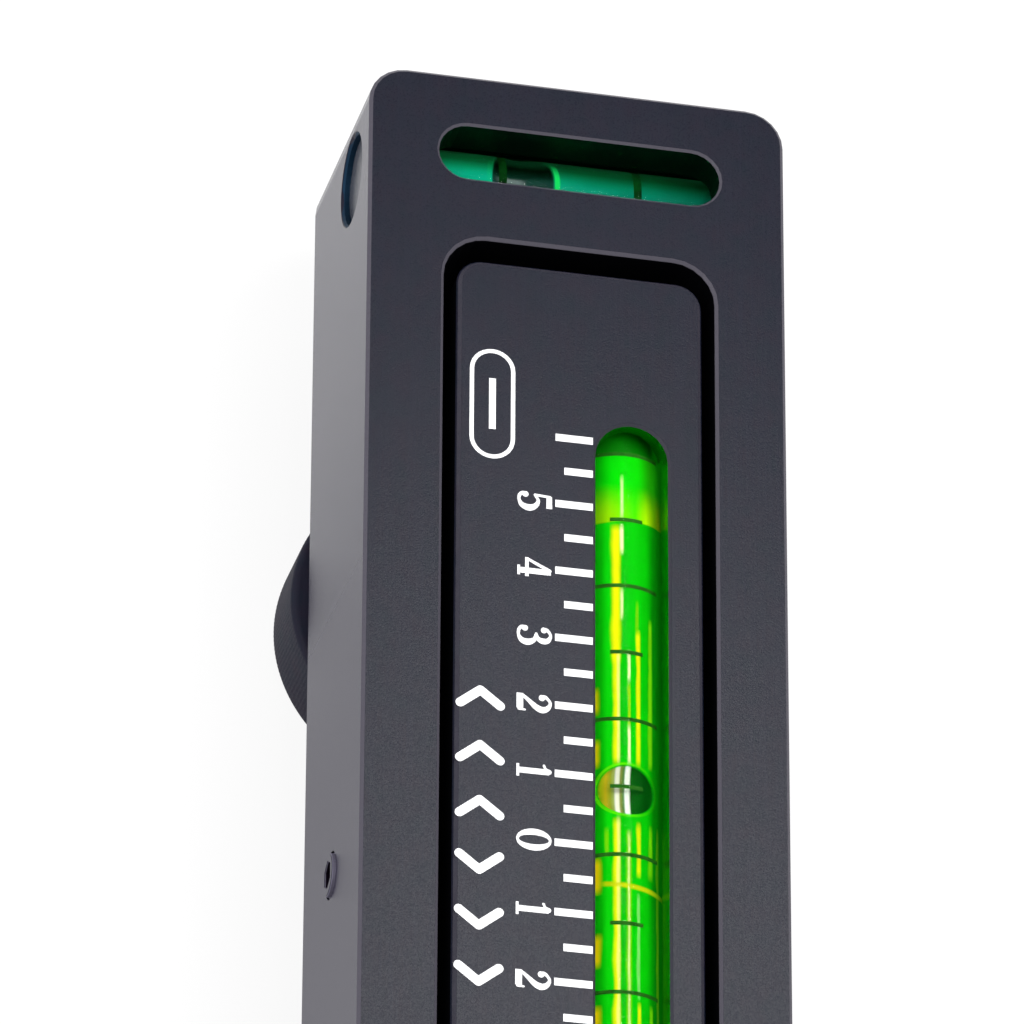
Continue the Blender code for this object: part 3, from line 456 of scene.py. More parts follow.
# Strokes of the figures: (right, up, half width) as shares of the figure's height, and whether
# their ends are round
THICK_SHARE = 0.078
THIN_SHARE = 0.032
FIGURE_STROKE_SHARES = {
    "1": [([(0.32, 0.03, THICK_SHARE), (0.32, 0.93, THICK_SHARE)], False),
          ([(0.13, 0.78, THIN_SHARE), (0.23, 0.83, THIN_SHARE), (0.31, 0.93, THICK_SHARE * 0.8)], True),
          ([(0.13, 0.035, 0.035), (0.51, 0.035, 0.035)], False)],
    "2": [([(0.15, 0.72, 0.085), (0.13, 0.83, 0.045), (0.29, 0.955, 0.038), (0.46, 0.88, 0.066),
            (0.52, 0.72, 0.086), (0.44, 0.54, 0.076), (0.26, 0.34, 0.052), (0.11, 0.16, 0.038)], True),
          ([(0.06, 0.085, 0.085), (0.52, 0.085, 0.085)], False),
          ([(0.54, 0.06, 0.04), (0.56, 0.23, 0.025)], True)],
    "3": [([(0.15, 0.77, 0.08), (0.15, 0.87, 0.045), (0.30, 0.96, 0.036), (0.46, 0.88, 0.066),
            (0.49, 0.74, 0.078), (0.42, 0.60, 0.055), (0.27, 0.545, 0.03)], True),
          ([(0.27, 0.545, 0.03), (0.46, 0.49, 0.058), (0.55, 0.32, 0.086), (0.51, 0.14, 0.074),
            (0.36, 0.04, 0.04), (0.20, 0.045, 0.042), (0.11, 0.12, 0.05), (0.13, 0.22, 0.08)], True)],
    "4": [([(0.38, 0.93, 0.045), (0.07, 0.30, 0.036)], True),
          ([(0.02, 0.27, 0.046), (0.61, 0.27, 0.046)], False),
          ([(0.43, 0.03, THICK_SHARE), (0.43, 0.96, THICK_SHARE)], False),
          ([(0.28, 0.035, 0.035), (0.58, 0.035, 0.035)], False)],
    "5": [([(0.15, 0.91, 0.07), (0.52, 0.91, 0.075)], False),
          ([(0.155, 0.93, 0.034), (0.125, 0.50, 0.034)], True),
          ([(0.13, 0.50, 0.034), (0.30, 0.59, 0.042), (0.47, 0.51, 0.068), (0.545, 0.33, 0.088),
            (0.48, 0.13, 0.07), (0.33, 0.04, 0.04), (0.19, 0.045, 0.045), (0.11, 0.12, 0.05),
            (0.13, 0.22, 0.08)], True)],
}
ZERO_SHARES = (0.31, 0.50, 0.235, 0.465)
ZERO_THICK_SHARE = THICK_SHARE * 1.08
ZERO_POINTS = 48
FIGURE_MIDDLE_SHARE = 0.32
# A stroke that crosses others stands higher by this share of the print's thickness
CROSSING_SHARE = 0.12


def zero_stroke():
    """The figure 0: an ellipse whose stroke is thick at its sides and thin at top and foot."""
    middle_right, middle_up, reach_right, reach_up = ZERO_SHARES
    angle = full_circle(ZERO_POINTS)
    width = THIN_SHARE + (ZERO_THICK_SHARE - THIN_SHARE) * np.abs(np.cos(angle)) ** 1.5
    return np.column_stack([middle_right + reach_right * np.cos(angle),
                            middle_up + reach_up * np.sin(angle), width])


def on_panel(path, corner, settings):
    """A figure's path set on the panel, where its up is +X and its right is -Y."""
    path = np.asarray(path, float)
    height = settings.figure_height
    return np.column_stack([corner[0] + path[:, 1] * height,
                            corner[1] - (path[:, 0] - FIGURE_MIDDLE_SHARE) * height,
                            path[:, 2] * height * settings.figure_weight])


def straight(start, end, half_width):
    """A straight stroke from one place to another."""
    return [(*start, half_width), (*end, half_width)]


# Shader helpers

# The part of a noise's range that a finish spreads over all its tones
GRAIN_RANGE = (0.3, 0.7)
# Inputs and output of a Mix node for numbers and for colours
MIX_SOCKETS = {"FLOAT": (2, 3, 0), "RGBA": (6, 7, 2)}


def feed(tree, socket, value):
    """Feed an input from an output socket, a number, a vector or a colour's three parts."""
    if isinstance(value, bpy.types.NodeSocket):
        tree.links.new(value, socket)
    elif socket.type == "RGBA":
        socket.default_value = (*value, 1.0)
    else:
        socket.default_value = value


def wire(tree, node, **values):
    """Feed a node's inputs by name, with spaces written as _, and return its outputs."""
    for name, value in values.items():
        feed(tree, node.inputs[name.replace("_", " ")], value)
    return node.outputs


def add_node(tree, kind, **values):
    """The outputs of a new node with its inputs fed by name."""
    return wire(tree, tree.nodes.new(kind), **values)


def operate(tree, kind, operation, *terms):
    """A Math or Vector Math node with its terms, each a socket or a value."""
    node = tree.nodes.new(kind)
    node.operation = operation
    for socket, term in zip(node.inputs, terms):
        feed(tree, socket, term)
    return node


def math_node(tree, operation, first, second=0.0, clamp=False):
    """The result of a Math node, held between 0 and 1 if it is clamped."""
    node = operate(tree, "ShaderNodeMath", operation, first, second)
    node.use_clamp = clamp
    return node.outputs[0]


def plus(tree, first, second, clamp=False):
    """The sum of two terms."""
    return math_node(tree, "ADD", first, second, clamp)


def minus(tree, first, second, clamp=False):
    """The first term less the second."""
    return math_node(tree, "SUBTRACT", first, second, clamp)


def times(tree, first, second):
    """The product of two terms."""
    return math_node(tree, "MULTIPLY", first, second)


def over(tree, first, second, clamp=False):
    """The first term divided by the second."""
    return math_node(tree, "DIVIDE", first, second, clamp)


def most(tree, masks):
    """The greatest of several masks."""
    total = masks[0]
    for mask in masks[1:]:
        total = math_node(tree, "MAXIMUM", total, mask)
    return total


def map_range(tree, value, low, high, to_low=0.0, to_high=1.0):
    """A smoothed Map Range of a socket."""
    node = tree.nodes.new("ShaderNodeMapRange")
    node.interpolation_type = "SMOOTHSTEP"
    return wire(tree, node, Value=value, From_Min=low, From_Max=high, To_Min=to_low,
                To_Max=to_high)["Result"]


def mix(tree, share, first, second, kind="RGBA", blend="MIX"):
    """Two colours or numbers, each a socket or a value, mixed by a share."""
    node = tree.nodes.new("ShaderNodeMix")
    node.data_type = kind
    node.blend_type = blend
    first_input, second_input, result = MIX_SOCKETS[kind]
    for index, term in ((0, share), (first_input, first), (second_input, second)):
        feed(tree, node.inputs[index], term)
    return node.outputs[result]


def coordinate(tree, kind="Object"):
    """One of the piece's own coordinates."""
    return tree.nodes.new("ShaderNodeTexCoord").outputs[kind]


def parts_of(tree, vector):
    """The X, Y and Z of a vector."""
    return add_node(tree, "ShaderNodeSeparateXYZ", Vector=vector)


def noise(tree, scale, detail, roughness=0.5, vector=None):
    """Noise over the piece, or over another vector."""
    if vector is None:
        vector = coordinate(tree)
    return add_node(tree, "ShaderNodeTexNoise", Vector=vector, Scale=scale, Detail=detail,
                    Roughness=roughness)["Fac"]


def ramp(tree, value, stops):
    """A Color Ramp of (place, colour) stops."""
    node = tree.nodes.new("ShaderNodeValToRGB")
    node.color_ramp.interpolation = "LINEAR"
    elements = node.color_ramp.elements
    while len(elements) < len(stops):
        elements.new(0.5)
    for element, (place, colour) in zip(elements, stops):
        element.position = place
        element.color = (*colour, 1.0)
    return wire(tree, node, Fac=value)["Color"]


def band(tree, value, low, high, soft):
    """1 between low and high, falling to 0 over the soft distance outside them."""
    return times(tree, map_range(tree, value, low - soft, low),
                 map_range(tree, value, high, high + soft, 1.0, 0.0))


def new_group(name, inputs, *outputs):
    """A shader node group; returns its tree, its inputs' sockets and its output node.

    inputs maps a name to a number or to the three numbers of a vector; every output is a number.
    """
    tree = bpy.data.node_groups.new(name, "ShaderNodeTree")
    for socket_name, default in inputs.items():
        kind = "NodeSocketVector" if isinstance(default, tuple) else "NodeSocketFloat"
        socket = tree.interface.new_socket(socket_name, in_out="INPUT", socket_type=kind)
        socket.default_value = default
    for socket_name in outputs:
        tree.interface.new_socket(socket_name, in_out="OUTPUT", socket_type="NodeSocketFloat")
    return tree, tree.nodes.new("NodeGroupInput").outputs, tree.nodes.new("NodeGroupOutput")


def blasted_grain_group():
    """Fine grain of a blasted or cast surface: a mottled value and a height."""
    tree, given, end = new_group("Blasted Grain", {"Grain Size": 0.16 * MM, "Mottle Size": 3 * MM},
                                 "Mottle", "Height")
    wire(tree, end, Mottle=noise(tree, over(tree, 1.0, given["Mottle Size"]), 4.0, 0.55),
         Height=noise(tree, over(tree, 1.0, given["Grain Size"]), 3.0, 0.6))
    return tree


# Shrinks places along the bar, so that noise runs out into lines
LINE_STRETCH = (1.0, 0.018, 1.0)


def drawn_lines_group():
    """Faint lines drawn along the bar's length: noise that is stretched along Y."""
    tree, given, end = new_group("Drawn Lines", {"Line Width": 0.25 * MM}, "Lines")
    stretched = add_node(tree, "ShaderNodeMapping", Vector=coordinate(tree), Scale=LINE_STRETCH)[0]
    wire(tree, end, Lines=noise(tree, over(tree, 1.0, given["Line Width"]), 2.0, vector=stretched))
    return tree


BOX_INPUTS = {"Half Size": (21 * MM, 82 * MM, 12.7 * MM), "Middle": (0.0, 82 * MM, 0.0),
              "Edge Width": 0.5 * MM}


def box_insets(tree, given):
    """How deep a point lies inside a box, for each axis: (half - |place - middle|) / edge width.

    Each number is held between 0 at the box's face and 1 one edge width inside it.
    """
    kind = "ShaderNodeVectorMath"
    offset = operate(tree, kind, "SUBTRACT", coordinate(tree), given["Middle"]).outputs[0]
    size = operate(tree, kind, "ABSOLUTE", offset).outputs[0]
    inset = operate(tree, kind, "SUBTRACT", given["Half Size"], size).outputs[0]
    return [over(tree, part, given["Edge Width"], clamp=True) for part in parts_of(tree, inset)]


# Scale and detail of the noise that breaks up the rubbed edges with their painted highlight,
# and the range that shows
EDGE_NOISE = (900.0, 3.0)
EDGE_NOISE_RANGE = (0.35, 0.7)


def bar_edge_group():
    """Rubbed edges of a box-shaped bar, partly wear and partly painted highlight: a mask where
    two of its faces meet.

    Nearness to a face is 1 - inset; the product of two nearnesses is the mask of their edge,
    which noise breaks up.
    """
    tree, given, end = new_group("Rubbed Edges And Highlight", BOX_INPUTS, "Mask")
    near = [minus(tree, 1.0, inset, clamp=True) for inset in box_insets(tree, given)]
    pairs = [times(tree, near[i], near[j]) for i, j in ((0, 1), (1, 2), (0, 2))]
    total = plus(tree, plus(tree, pairs[0], pairs[1]), pairs[2], clamp=True)
    breaks = map_range(tree, noise(tree, *EDGE_NOISE), *EDGE_NOISE_RANGE)
    wire(tree, end, Mask=times(tree, total, breaks))
    return tree


def recess_group():
    """The inside of a box-shaped recess: the product of the box's three insets."""
    tree, given, end = new_group("Recess Shade", BOX_INPUTS, "Mask")
    insets = box_insets(tree, given)
    wire(tree, end, Mask=times(tree, times(tree, insets[0], insets[1]), insets[2]))
    return tree


# Scale of the noise along a streak, and how much it moves and widens the streak
STREAK_WAVES = 1.7
STREAK_SWAY = 0.03
STREAK_SWELL = 1.1


def streak_group():
    """A soft streak of light along a vial, from one place to another.

    Across it the mask is 1 - |across - place| / half width, where slow noise along the vial
    moves the place and widens the streak a little. Along it the mask rises at Start and falls
    at End over the Fade.
    """
    tree, given, end = new_group(
        "Vial Streak", {"Across": 0.5, "Along": 0.0, "Place": 0.5, "Half Width": 0.05,
                        "Start": -6.0, "End": 6.0, "Fade": 0.12}, "Mask")
    spot = add_node(tree, "ShaderNodeCombineXYZ", X=given["Place"], Y=given["Along"])[0]
    wave = minus(tree, noise(tree, STREAK_WAVES, 2.0, vector=spot), 0.5)
    off = minus(tree, given["Across"], given["Place"])
    off = math_node(tree, "ABSOLUTE", plus(tree, off, times(tree, wave, STREAK_SWAY)))
    swell = plus(tree, 1.0, times(tree, wave, STREAK_SWELL))
    line = minus(tree, 1.0, over(tree, off, times(tree, given["Half Width"], swell)), clamp=True)
    rise = over(tree, minus(tree, given["Along"], given["Start"]), given["Fade"], clamp=True)
    fall = over(tree, minus(tree, given["End"], given["Along"]), given["Fade"], clamp=True)
    wire(tree, end, Mask=times(tree, map_range(tree, line, 0.0, 0.85), times(tree, rise, fall)))
    return tree


GROUP_MAKERS = {"Blasted Grain": blasted_grain_group, "Drawn Lines": drawn_lines_group,
                "Rubbed Edges And Highlight": bar_edge_group, "Recess Shade": recess_group,
                "Vial Streak": streak_group}


def use_group(tree, name, **values):
    """A group node in a material, its group made on first use; returns its outputs."""
    node = tree.nodes.new("ShaderNodeGroup")
    node.node_tree = bpy.data.node_groups.get(name) or GROUP_MAKERS[name]()
    return wire(tree, node, **values)


def new_material(name, **values):
    """A Principled material, its tree and its shader, or only the material if it exists."""
    found = bpy.data.materials.get(name)
    if found:
        return found, None, None
    material = bpy.data.materials.new(name)
    material.use_nodes = True
    tree = material.node_tree
    shader = tree.nodes["Principled BSDF"]
    wire(tree, shader, **values)
    return material, tree, shader


def bump(tree, shader, height, distance, strength):
    """A Bump node from a height socket into the shader's normal."""
    normal = add_node(tree, "ShaderNodeBump", Height=height, Distance=distance, Strength=strength)
    wire(tree, shader, Normal=normal["Normal"])


# Finishes

def grain_of(tree, grain_size, mottle_size):
    """The outputs of a blasted grain of two sizes."""
    return use_group(tree, "Blasted Grain", Grain_Size=grain_size, Mottle_Size=mottle_size)


def mottled(tree, grain, first, second):
    """Two colours mottled by the noise of a grain."""
    return mix(tree, map_range(tree, grain["Mottle"], *GRAIN_RANGE), first, second)


def uneven(tree, shader, grain, low, high, depth, strength):
    """A shader's roughness spread between two numbers by a grain, which also lifts it."""
    wire(tree, shader, Roughness=map_range(tree, grain["Height"], *GRAIN_RANGE, low, high))
    bump(tree, shader, grain["Height"], depth, strength)


def box_mask(tree, group, low, high, edge_width):
    """The mask that a group makes of the box between two corners."""
    low, high = np.array(low, float), np.array(high, float)
    return use_group(tree, group, Middle=(low + high) / 2, Half_Size=(high - low) / 2,
                     Edge_Width=edge_width)["Mask"]


# Colour of the bar's left side, a painted sheen paler than the rest of the bar where the side
# mirrors the pale floor, its roughness from the middle of the bar to the free end, and how far
# from that end the change starts and stops
SIDE_PAINTED_SHEEN = (0.019, 0.016, 0.037)
SIDE_ROUGHNESS = (0.32, 0.115)
SIDE_FADE = (75 * MM, 5 * MM)

# Depth under the left side over which its painted sheen ends, and how far a surface has to
# face left for it to begin and to be full
SIDE_DEPTH = (2 * MM, 3 * MM)
SIDE_FACING = (-0.55, -0.95)

# Anodising: its shine, the tints of its mottle and of its drawn lines, the range of the lines'
# noise that shows, the strength of its rubbed edges with their painted highlight, the spread of
# its roughness, and the share of the lines in its relief
ANODISED_SHINE = 0.12
DARK_TINT = (0.66, 1.04, 1.00)
PALE_TINT = (1.34, 0.96, 1.02)
LINE_TINT = 1.18
LINE_RANGE = (0.35, 0.75)
EDGE_WEAR_AND_HIGHLIGHT_SHARE = 0.6
ROUGHNESS_SPREAD = (-0.07, 0.08)
LINE_RELIEF_SHARE = 0.3
# Sizes of its mottle, its lines, its rubbed edges with their painted highlight, the edge of a
# recess, and its relief
ANODISED_MOTTLE = 2.6 * MM
ANODISED_LINE = 0.22 * MM
EDGE_WEAR_AND_HIGHLIGHT_WIDTH = 0.45 * MM
RECESS_EDGE = 0.05 * MM
ANODISED_RELIEF = 0.022 * MM
# The band of a chamfer's painted highlight: its upper end and the softness of its ends, as
# shares of its height
CHAMFER_TOP_SHARE = 0.06
CHAMFER_SOFT_SHARE = 0.05


def anodised(name, low, high, chamfer=0.0, recesses=(), rough=None, tone=1.0, painted_side_sheen=None,
             chamfer_share=0.8):
    """Black anodised aluminium over a blasted surface.

    Each recess is a box, as (low corner, high corner, colour, roughness), whose walls shine
    like metal of that colour: painted shade in the dark ones, and painted reflection and sheen
    in the pale and green ones.  The chamfer round the front's openings is a little paler as a
    painted highlight, and the box's own edges are paler as rubbed wear with a painted highlight.
    A side colour, a painted sheen, goes to the box's left face, which is smoother towards
    the bar's free end.
    """
    finish = bpy.context.scene.gauge_finish
    material, tree, shader = new_material(name, Specular_IOR_Level=ANODISED_SHINE)
    if tree is None:
        return material
    grain = grain_of(tree, finish.grain_size, ANODISED_MOTTLE)
    lines = use_group(tree, "Drawn Lines", Line_Width=ANODISED_LINE)["Lines"]
    # Rubbed wear with a painted highlight along the box's own edges
    worn_and_highlit = box_mask(tree, "Rubbed Edges And Highlight", low, high, EDGE_WEAR_AND_HIGHLIGHT_WIDTH)
    base = np.array(finish.anodised_colour) * tone
    colour = mottled(tree, grain, base * DARK_TINT, base * PALE_TINT)
    colour = mix(tree, map_range(tree, lines, *LINE_RANGE), colour, base * LINE_TINT)
    colour = mix(tree, times(tree, worn_and_highlit, EDGE_WEAR_AND_HIGHLIGHT_SHARE), colour, finish.edge_colour)
    if rough is None:
        rough = finish.anodised_roughness
    roughness = map_range(tree, grain["Height"], *GRAIN_RANGE, rough + ROUGHNESS_SPREAD[0],
                          rough + ROUGHNESS_SPREAD[1])
    place = parts_of(tree, coordinate(tree))
    # Painted sheen: a paler colour on the left face, where it mirrors the pale floor
    if painted_side_sheen:
        facing = parts_of(tree, coordinate(tree, "Normal"))
        side = times(tree, map_range(tree, facing["X"], *SIDE_FACING),
                     map_range(tree, place["X"], low.x + SIDE_DEPTH[0], low.x + SIDE_DEPTH[1], 1.0, 0.0))
        smooth = map_range(tree, place["Y"], BAR_HIGH.y - SIDE_FADE[0], BAR_HIGH.y - SIDE_FADE[1],
                           *SIDE_ROUGHNESS)
        roughness = mix(tree, side, roughness, smooth, "FLOAT")
        colour = mix(tree, side, colour, painted_side_sheen)
    # Painted highlight: the chamfer round the front's openings is painted paler
    if chamfer:
        sloped = band(tree, place["Z"], high.z - chamfer, high.z - CHAMFER_TOP_SHARE * chamfer,
                      CHAMFER_SOFT_SHARE * chamfer)
        colour = mix(tree, times(tree, sloped, chamfer_share), colour, finish.edge_colour)
    # Painted shade: each recess's walls take its colour with a metallic shine, dark where shade falls;
    # pale and green colours here are painted sheen and reflection
    if recesses:
        masks = []
        for near, far, tint, dullness in recesses:
            mask = box_mask(tree, "Recess Shade", near, far, RECESS_EDGE)
            colour = mix(tree, mask, colour, tint)
            roughness = mix(tree, mask, roughness, dullness, "FLOAT")
            masks.append(mask)
        wire(tree, shader, Metallic=most(tree, masks))
    wire(tree, shader, Base_Color=colour, Roughness=roughness)
    height = plus(tree, grain["Height"], times(tree, lines, LINE_RELIEF_SHARE))
    bump(tree, shader, height, ANODISED_RELIEF, 0.8)
    return material


# Grain size and relief of metals and of moulded plastics, the size of their mottle, its darkest
# tone and the least and greatest roughness as shares, and the plain finishes with their colour,
# roughness, metallic share and grain
METAL_GRAIN = (0.12 * MM, 0.004 * MM)
MOULDED_GRAIN = (0.3 * MM, 0.006 * MM)
PLAIN_MOTTLE = 1.8 * MM
PLAIN_DARK_SHARE = 0.86
PLAIN_ROUGHNESS_SHARES = (0.85, 1.25)
PLAIN_FINISHES = {
    "bright_zinc_steel": ((0.60, 0.61, 0.63), 0.28, 1.0, METAL_GRAIN),
    "black_oxide_steel": ((0.028, 0.028, 0.032), 0.34, 0.7, METAL_GRAIN),
    "turned_brass": ((0.72, 0.52, 0.22), 0.3, 1.0, METAL_GRAIN),
    "nickel_plate": ((0.70, 0.69, 0.66), 0.22, 1.0, METAL_GRAIN),
    "magnet_plate": ((0.12, 0.12, 0.13), 0.38, 0.9, METAL_GRAIN),
    "natural_nylon": ((0.78, 0.76, 0.70), 0.5, 0.0, MOULDED_GRAIN),
    "vial_plug_green": ((0.012, 0.12, 0.05), 0.38, 0.0, MOULDED_GRAIN),
    "vial_plug_blue": ((0.006, 0.05, 0.075), 0.35, 0.0, MOULDED_GRAIN),
}


def plain_finish(name):
    """A plain metal or plastic with a fine grain in its colour, roughness and height."""
    colour, roughness, metallic, (grain_size, depth) = PLAIN_FINISHES[name]
    material, tree, shader = new_material(name, Metallic=metallic)
    if tree is None:
        return material
    grain = grain_of(tree, grain_size, PLAIN_MOTTLE)
    base = np.array(colour)
    wire(tree, shader, Base_Color=mottled(tree, grain, base * PLAIN_DARK_SHARE, base))
    least, greatest = (roughness * share for share in PLAIN_ROUGHNESS_SHARES)
    uneven(tree, shader, grain, least, greatest, depth, 0.7)
    return material


# Grain size, mottle size and relief of the white print, its darkest tone as a share, and its
# least and greatest roughness
PRINT_GRAIN = (0.12 * MM, 0.9 * MM)
PRINT_RELIEF = 0.006 * MM
PRINT_DARK_SHARE = 0.93
PRINT_ROUGHNESS = (0.48, 0.62)


def print_ink():
    """White screen print: matt, a little uneven, with a slight height."""
    material, tree, shader = new_material("white_print")
    if tree is None:
        return material
    colour = np.array(bpy.context.scene.gauge_scale.ink_colour)
    grain = grain_of(tree, *PRINT_GRAIN)
    wire(tree, shader, Base_Color=mottled(tree, grain, colour * PRINT_DARK_SHARE, colour))
    uneven(tree, shader, grain, *PRINT_ROUGHNESS, PRINT_RELIEF, 0.6)
    return material


# Grain size and mottle size of the rings' ink, and its darkest and palest colour on each vial
RING_GRAIN = (0.1 * MM, 0.8 * MM)
RING_COLOURS = {"camber_vial": ((0.009, 0.065, 0.005), (0.017, 0.095, 0.009)),
                "level_vial": ((0.001, 0.014, 0.002), (0.001, 0.024, 0.003))}


def ring_ink(prefix):
    """Dark print of a vial's rings, without any shine."""
    material, tree, shader = new_material(prefix + "_ring_ink", Roughness=0.9,
                                          Specular_IOR_Level=0.0)
    if tree is None:
        return material
    grain = grain_of(tree, *RING_GRAIN)
    wire(tree, shader, Base_Color=mottled(tree, grain, *RING_COLOURS[prefix]))
    return material


# Scale and relief of the ripples in a vial's wall
RIPPLE_SCALE = 260.0
RIPPLE_RELIEF = 0.001 * MM


def vial_glass():
    """Clear vial wall with a polished face and faint ripples."""
    material, tree, shader = new_material(
        "vial_clear_wall", Transmission_Weight=1.0, Metallic=0.0, IOR=1.045)
    if tree is None:
        return material
    ripple = noise(tree, RIPPLE_SCALE, 1.0)
    wire(tree, shader, Base_Color=mix(tree, ripple, (0.96, 1.0, 0.96), (1.0, 1.0, 1.0)),
         Roughness=map_range(tree, ripple, 0.2, 0.8, 0.01, 0.04))
    bump(tree, shader, ripple, RIPPLE_RELIEF, 0.3)
    return material


def across_and_along(tree, across_axis, along_axis, low, width):
    """Share across a window from its low edge, and millimetres along the other axis."""
    place = parts_of(tree, coordinate(tree))
    across = over(tree, minus(tree, place[across_axis], low), width)
    return across, over(tree, place[along_axis], MM)


# Brightness of the liquids' colours, which are written as they show, with their light and shade
# painted in
LIQUID_SHARE = 0.60

# Colours of the painted highlights and painted refractions of light in the liquids
YELLOW = (0.86, 0.80, 0.004)
PALE = (0.90, 0.88, 0.46)
ROSE = (0.90, 0.85, 0.35)
OLIVE = (0.42, 0.62, 0.004)
LIME = (0.24, 0.68, 0.004)
ORANGE = (1.0, 0.62, 0.004)
SMOKE = (0.28, 0.68, 0.18)

# Painted highlights and refractions as streaks of light along the long vial: place and half
# width as shares of the window, start and end in degrees from zero, strength, colour
CAMBER_PAINTED_LIGHT_STREAKS = (
    (0.100, 0.070, 2.10, 2.55, 0.8, ORANGE), (0.100, 0.075, 1.32, 1.78, 0.9, ORANGE),
    (0.110, 0.085, -0.52, 0.05, 1.0, ORANGE), (0.110, 0.085, -1.58, -1.05, 1.0, ORANGE),
    (0.110, 0.085, -2.70, -2.08, 1.0, ORANGE),
    (0.235, 0.040, 0.02, 0.48, 0.8, LIME),
    (0.356, 0.082, 2.85, 4.97, 1.0, YELLOW), (0.356, 0.066, 1.36, 3.05, 0.9, YELLOW),
    (0.362, 0.066, -6.30, 0.62, 0.9, YELLOW),
    (0.385, 0.032, 1.36, 3.08, 0.5, ROSE), (0.385, 0.034, -6.30, 0.66, 0.5, ROSE),
    (0.433, 0.034, 5.02, 5.72, 0.6, PALE), (0.433, 0.036, 4.48, 4.98, 1.0, PALE),
    (0.433, 0.030, 3.50, 4.03, 0.8, PALE),
    (0.527, 0.032, 2.58, 3.10, 0.9, PALE), (0.527, 0.030, 1.90, 2.62, 0.7, OLIVE),
    (0.527, 0.032, 1.36, 2.00, 0.9, PALE),
    (0.522, 0.050, -6.30, 0.45, 0.6, OLIVE), (0.522, 0.020, -6.30, 0.45, 0.5, PALE),
    (0.640, 0.035, 3.35, 3.85, 0.4, OLIVE), (0.658, 0.042, 1.36, 3.42, 0.9, YELLOW),
    (0.660, 0.042, -0.26, 0.58, 0.8, YELLOW), (0.655, 0.030, -2.02, -0.45, 0.7, SMOKE),
    (0.660, 0.042, -6.30, -2.02, 0.8, YELLOW),
    (0.838, 0.042, 1.36, 3.62, 0.8, LIME), (0.838, 0.042, -0.26, 0.58, 0.7, LIME),
    (0.838, 0.042, -6.30, -2.02, 0.8, LIME), (0.950, 0.030, -2.50, 0.60, 0.4, OLIVE),
)


# What both liquids have in common: their shader's plain values, whose emission is a painted
# glow, the values of reach between which a bubble's colour ends, and the places of the bright
# rim round it, a painted highlight
LIQUID_LOOKS = {"Roughness": 0.5, "Specular_IOR_Level": 0.0, "Emission_Strength": 0.12}
BUBBLE_EDGE = (0.95, 1.0)
RIM_START = 1.03


def bubble_colour(tree, reach, colour, inside):
    """A liquid's colour with another one inside its bubble."""
    return mix(tree, map_range(tree, reach, *BUBBLE_EDGE, 1.0, 0.0), colour, inside)


def paint_liquid(tree, shader, colour, far_side, glow):
    """A liquid's colour, and its painted glow, which has a colour of its own at the far side."""
    colour = mix(tree, 1.0, colour, (LIQUID_SHARE,) * 3, blend="MULTIPLY")
    wire(tree, shader, Base_Color=colour, Emission_Color=mix(tree, far_side, colour, glow))


def reach_mark(tree):
    """The reach that a liquid keeps on its points: 0 in its bubble's middle, 1 at its edge."""
    node = tree.nodes.new("ShaderNodeAttribute")
    node.attribute_name = "reach"
    return node.outputs["Fac"]


def long_vial_colour(tree, across, degrees, main):
    """The long vial's colour by share across the window and degrees from zero, with its light and
    shade painted in.
    """
    # Painted light and shade across the window: paler and darker bands along the tube, dark at its far
    # side
    colour = ramp(tree, across, [
        (0.06, main * 0.66), (0.17, main * 0.86), (0.25, main * 1.25), (0.45, main * 0.86),
        (0.58, main * 1.02), (0.78, main * 0.92), (0.86, main * 0.60), (0.90, (0.002, 0.20, 0.003)),
        (1.0, (0.002, 0.20, 0.004))])
    # Painted light in a paler zone towards the vial's end
    upper = ramp(tree, across, [
        (0.05, (0.002, 0.30, 0.002)), (0.30, (0.002, 0.66, 0.002)), (0.66, (0.004, 0.62, 0.002)),
        (0.80, (0.010, 0.34, 0.002)), (1.0, (0.020, 0.20, 0.002))])
    lower = ramp(tree, across, [
        (0.05, (0.18, 0.42, 0.002)), (0.26, (0.34, 0.72, 0.002)), (0.45, (0.16, 0.74, 0.002)),
        (0.62, (0.06, 0.74, 0.002)), (0.78, (0.46, 0.84, 0.002)), (0.88, (0.26, 0.42, 0.002)),
        (1.0, (0.50, 0.30, 0.002))])
    light = mix(tree, map_range(tree, degrees, 5.60, 5.02), upper, lower)
    zone_end = minus(tree, degrees, times(tree, across, 0.06))
    colour = mix(tree, band(tree, zone_end, 4.99, 6.60, 0.03), colour, light)
    # Painted highlights: streaks of light along the vial
    for place, half_width, start, end, strength, tint in CAMBER_PAINTED_LIGHT_STREAKS:
        mask = use_group(tree, "Vial Streak", Across=across, Along=degrees, Place=place,
                         Half_Width=half_width, Start=start, End=end)["Mask"]
        colour = mix(tree, times(tree, mask, strength), colour, tint)
    seam = band(tree, plus(tree, degrees, times(tree, across, 0.07)), -0.356, -0.326, 0.035)
    seam = times(tree, seam, map_range(tree, across, 0.14, 0.24, 0.0, 0.85))
    colour = mix(tree, seam, colour, (0.62, 0.60, 0.004))
    # Painted shade beyond the last ring, at the vial's end
    beyond = times(tree, minus(tree, degrees, 6.05), 1.6)
    shade = ramp(tree, plus(tree, across, beyond), [
        (0.0, (0.002, 0.17, 0.002)), (0.60, (0.002, 0.14, 0.002)), (1.0, (0.0, 0.06, 0.0))])
    return mix(tree, map_range(tree, degrees, 6.02, 6.06), colour, shade)


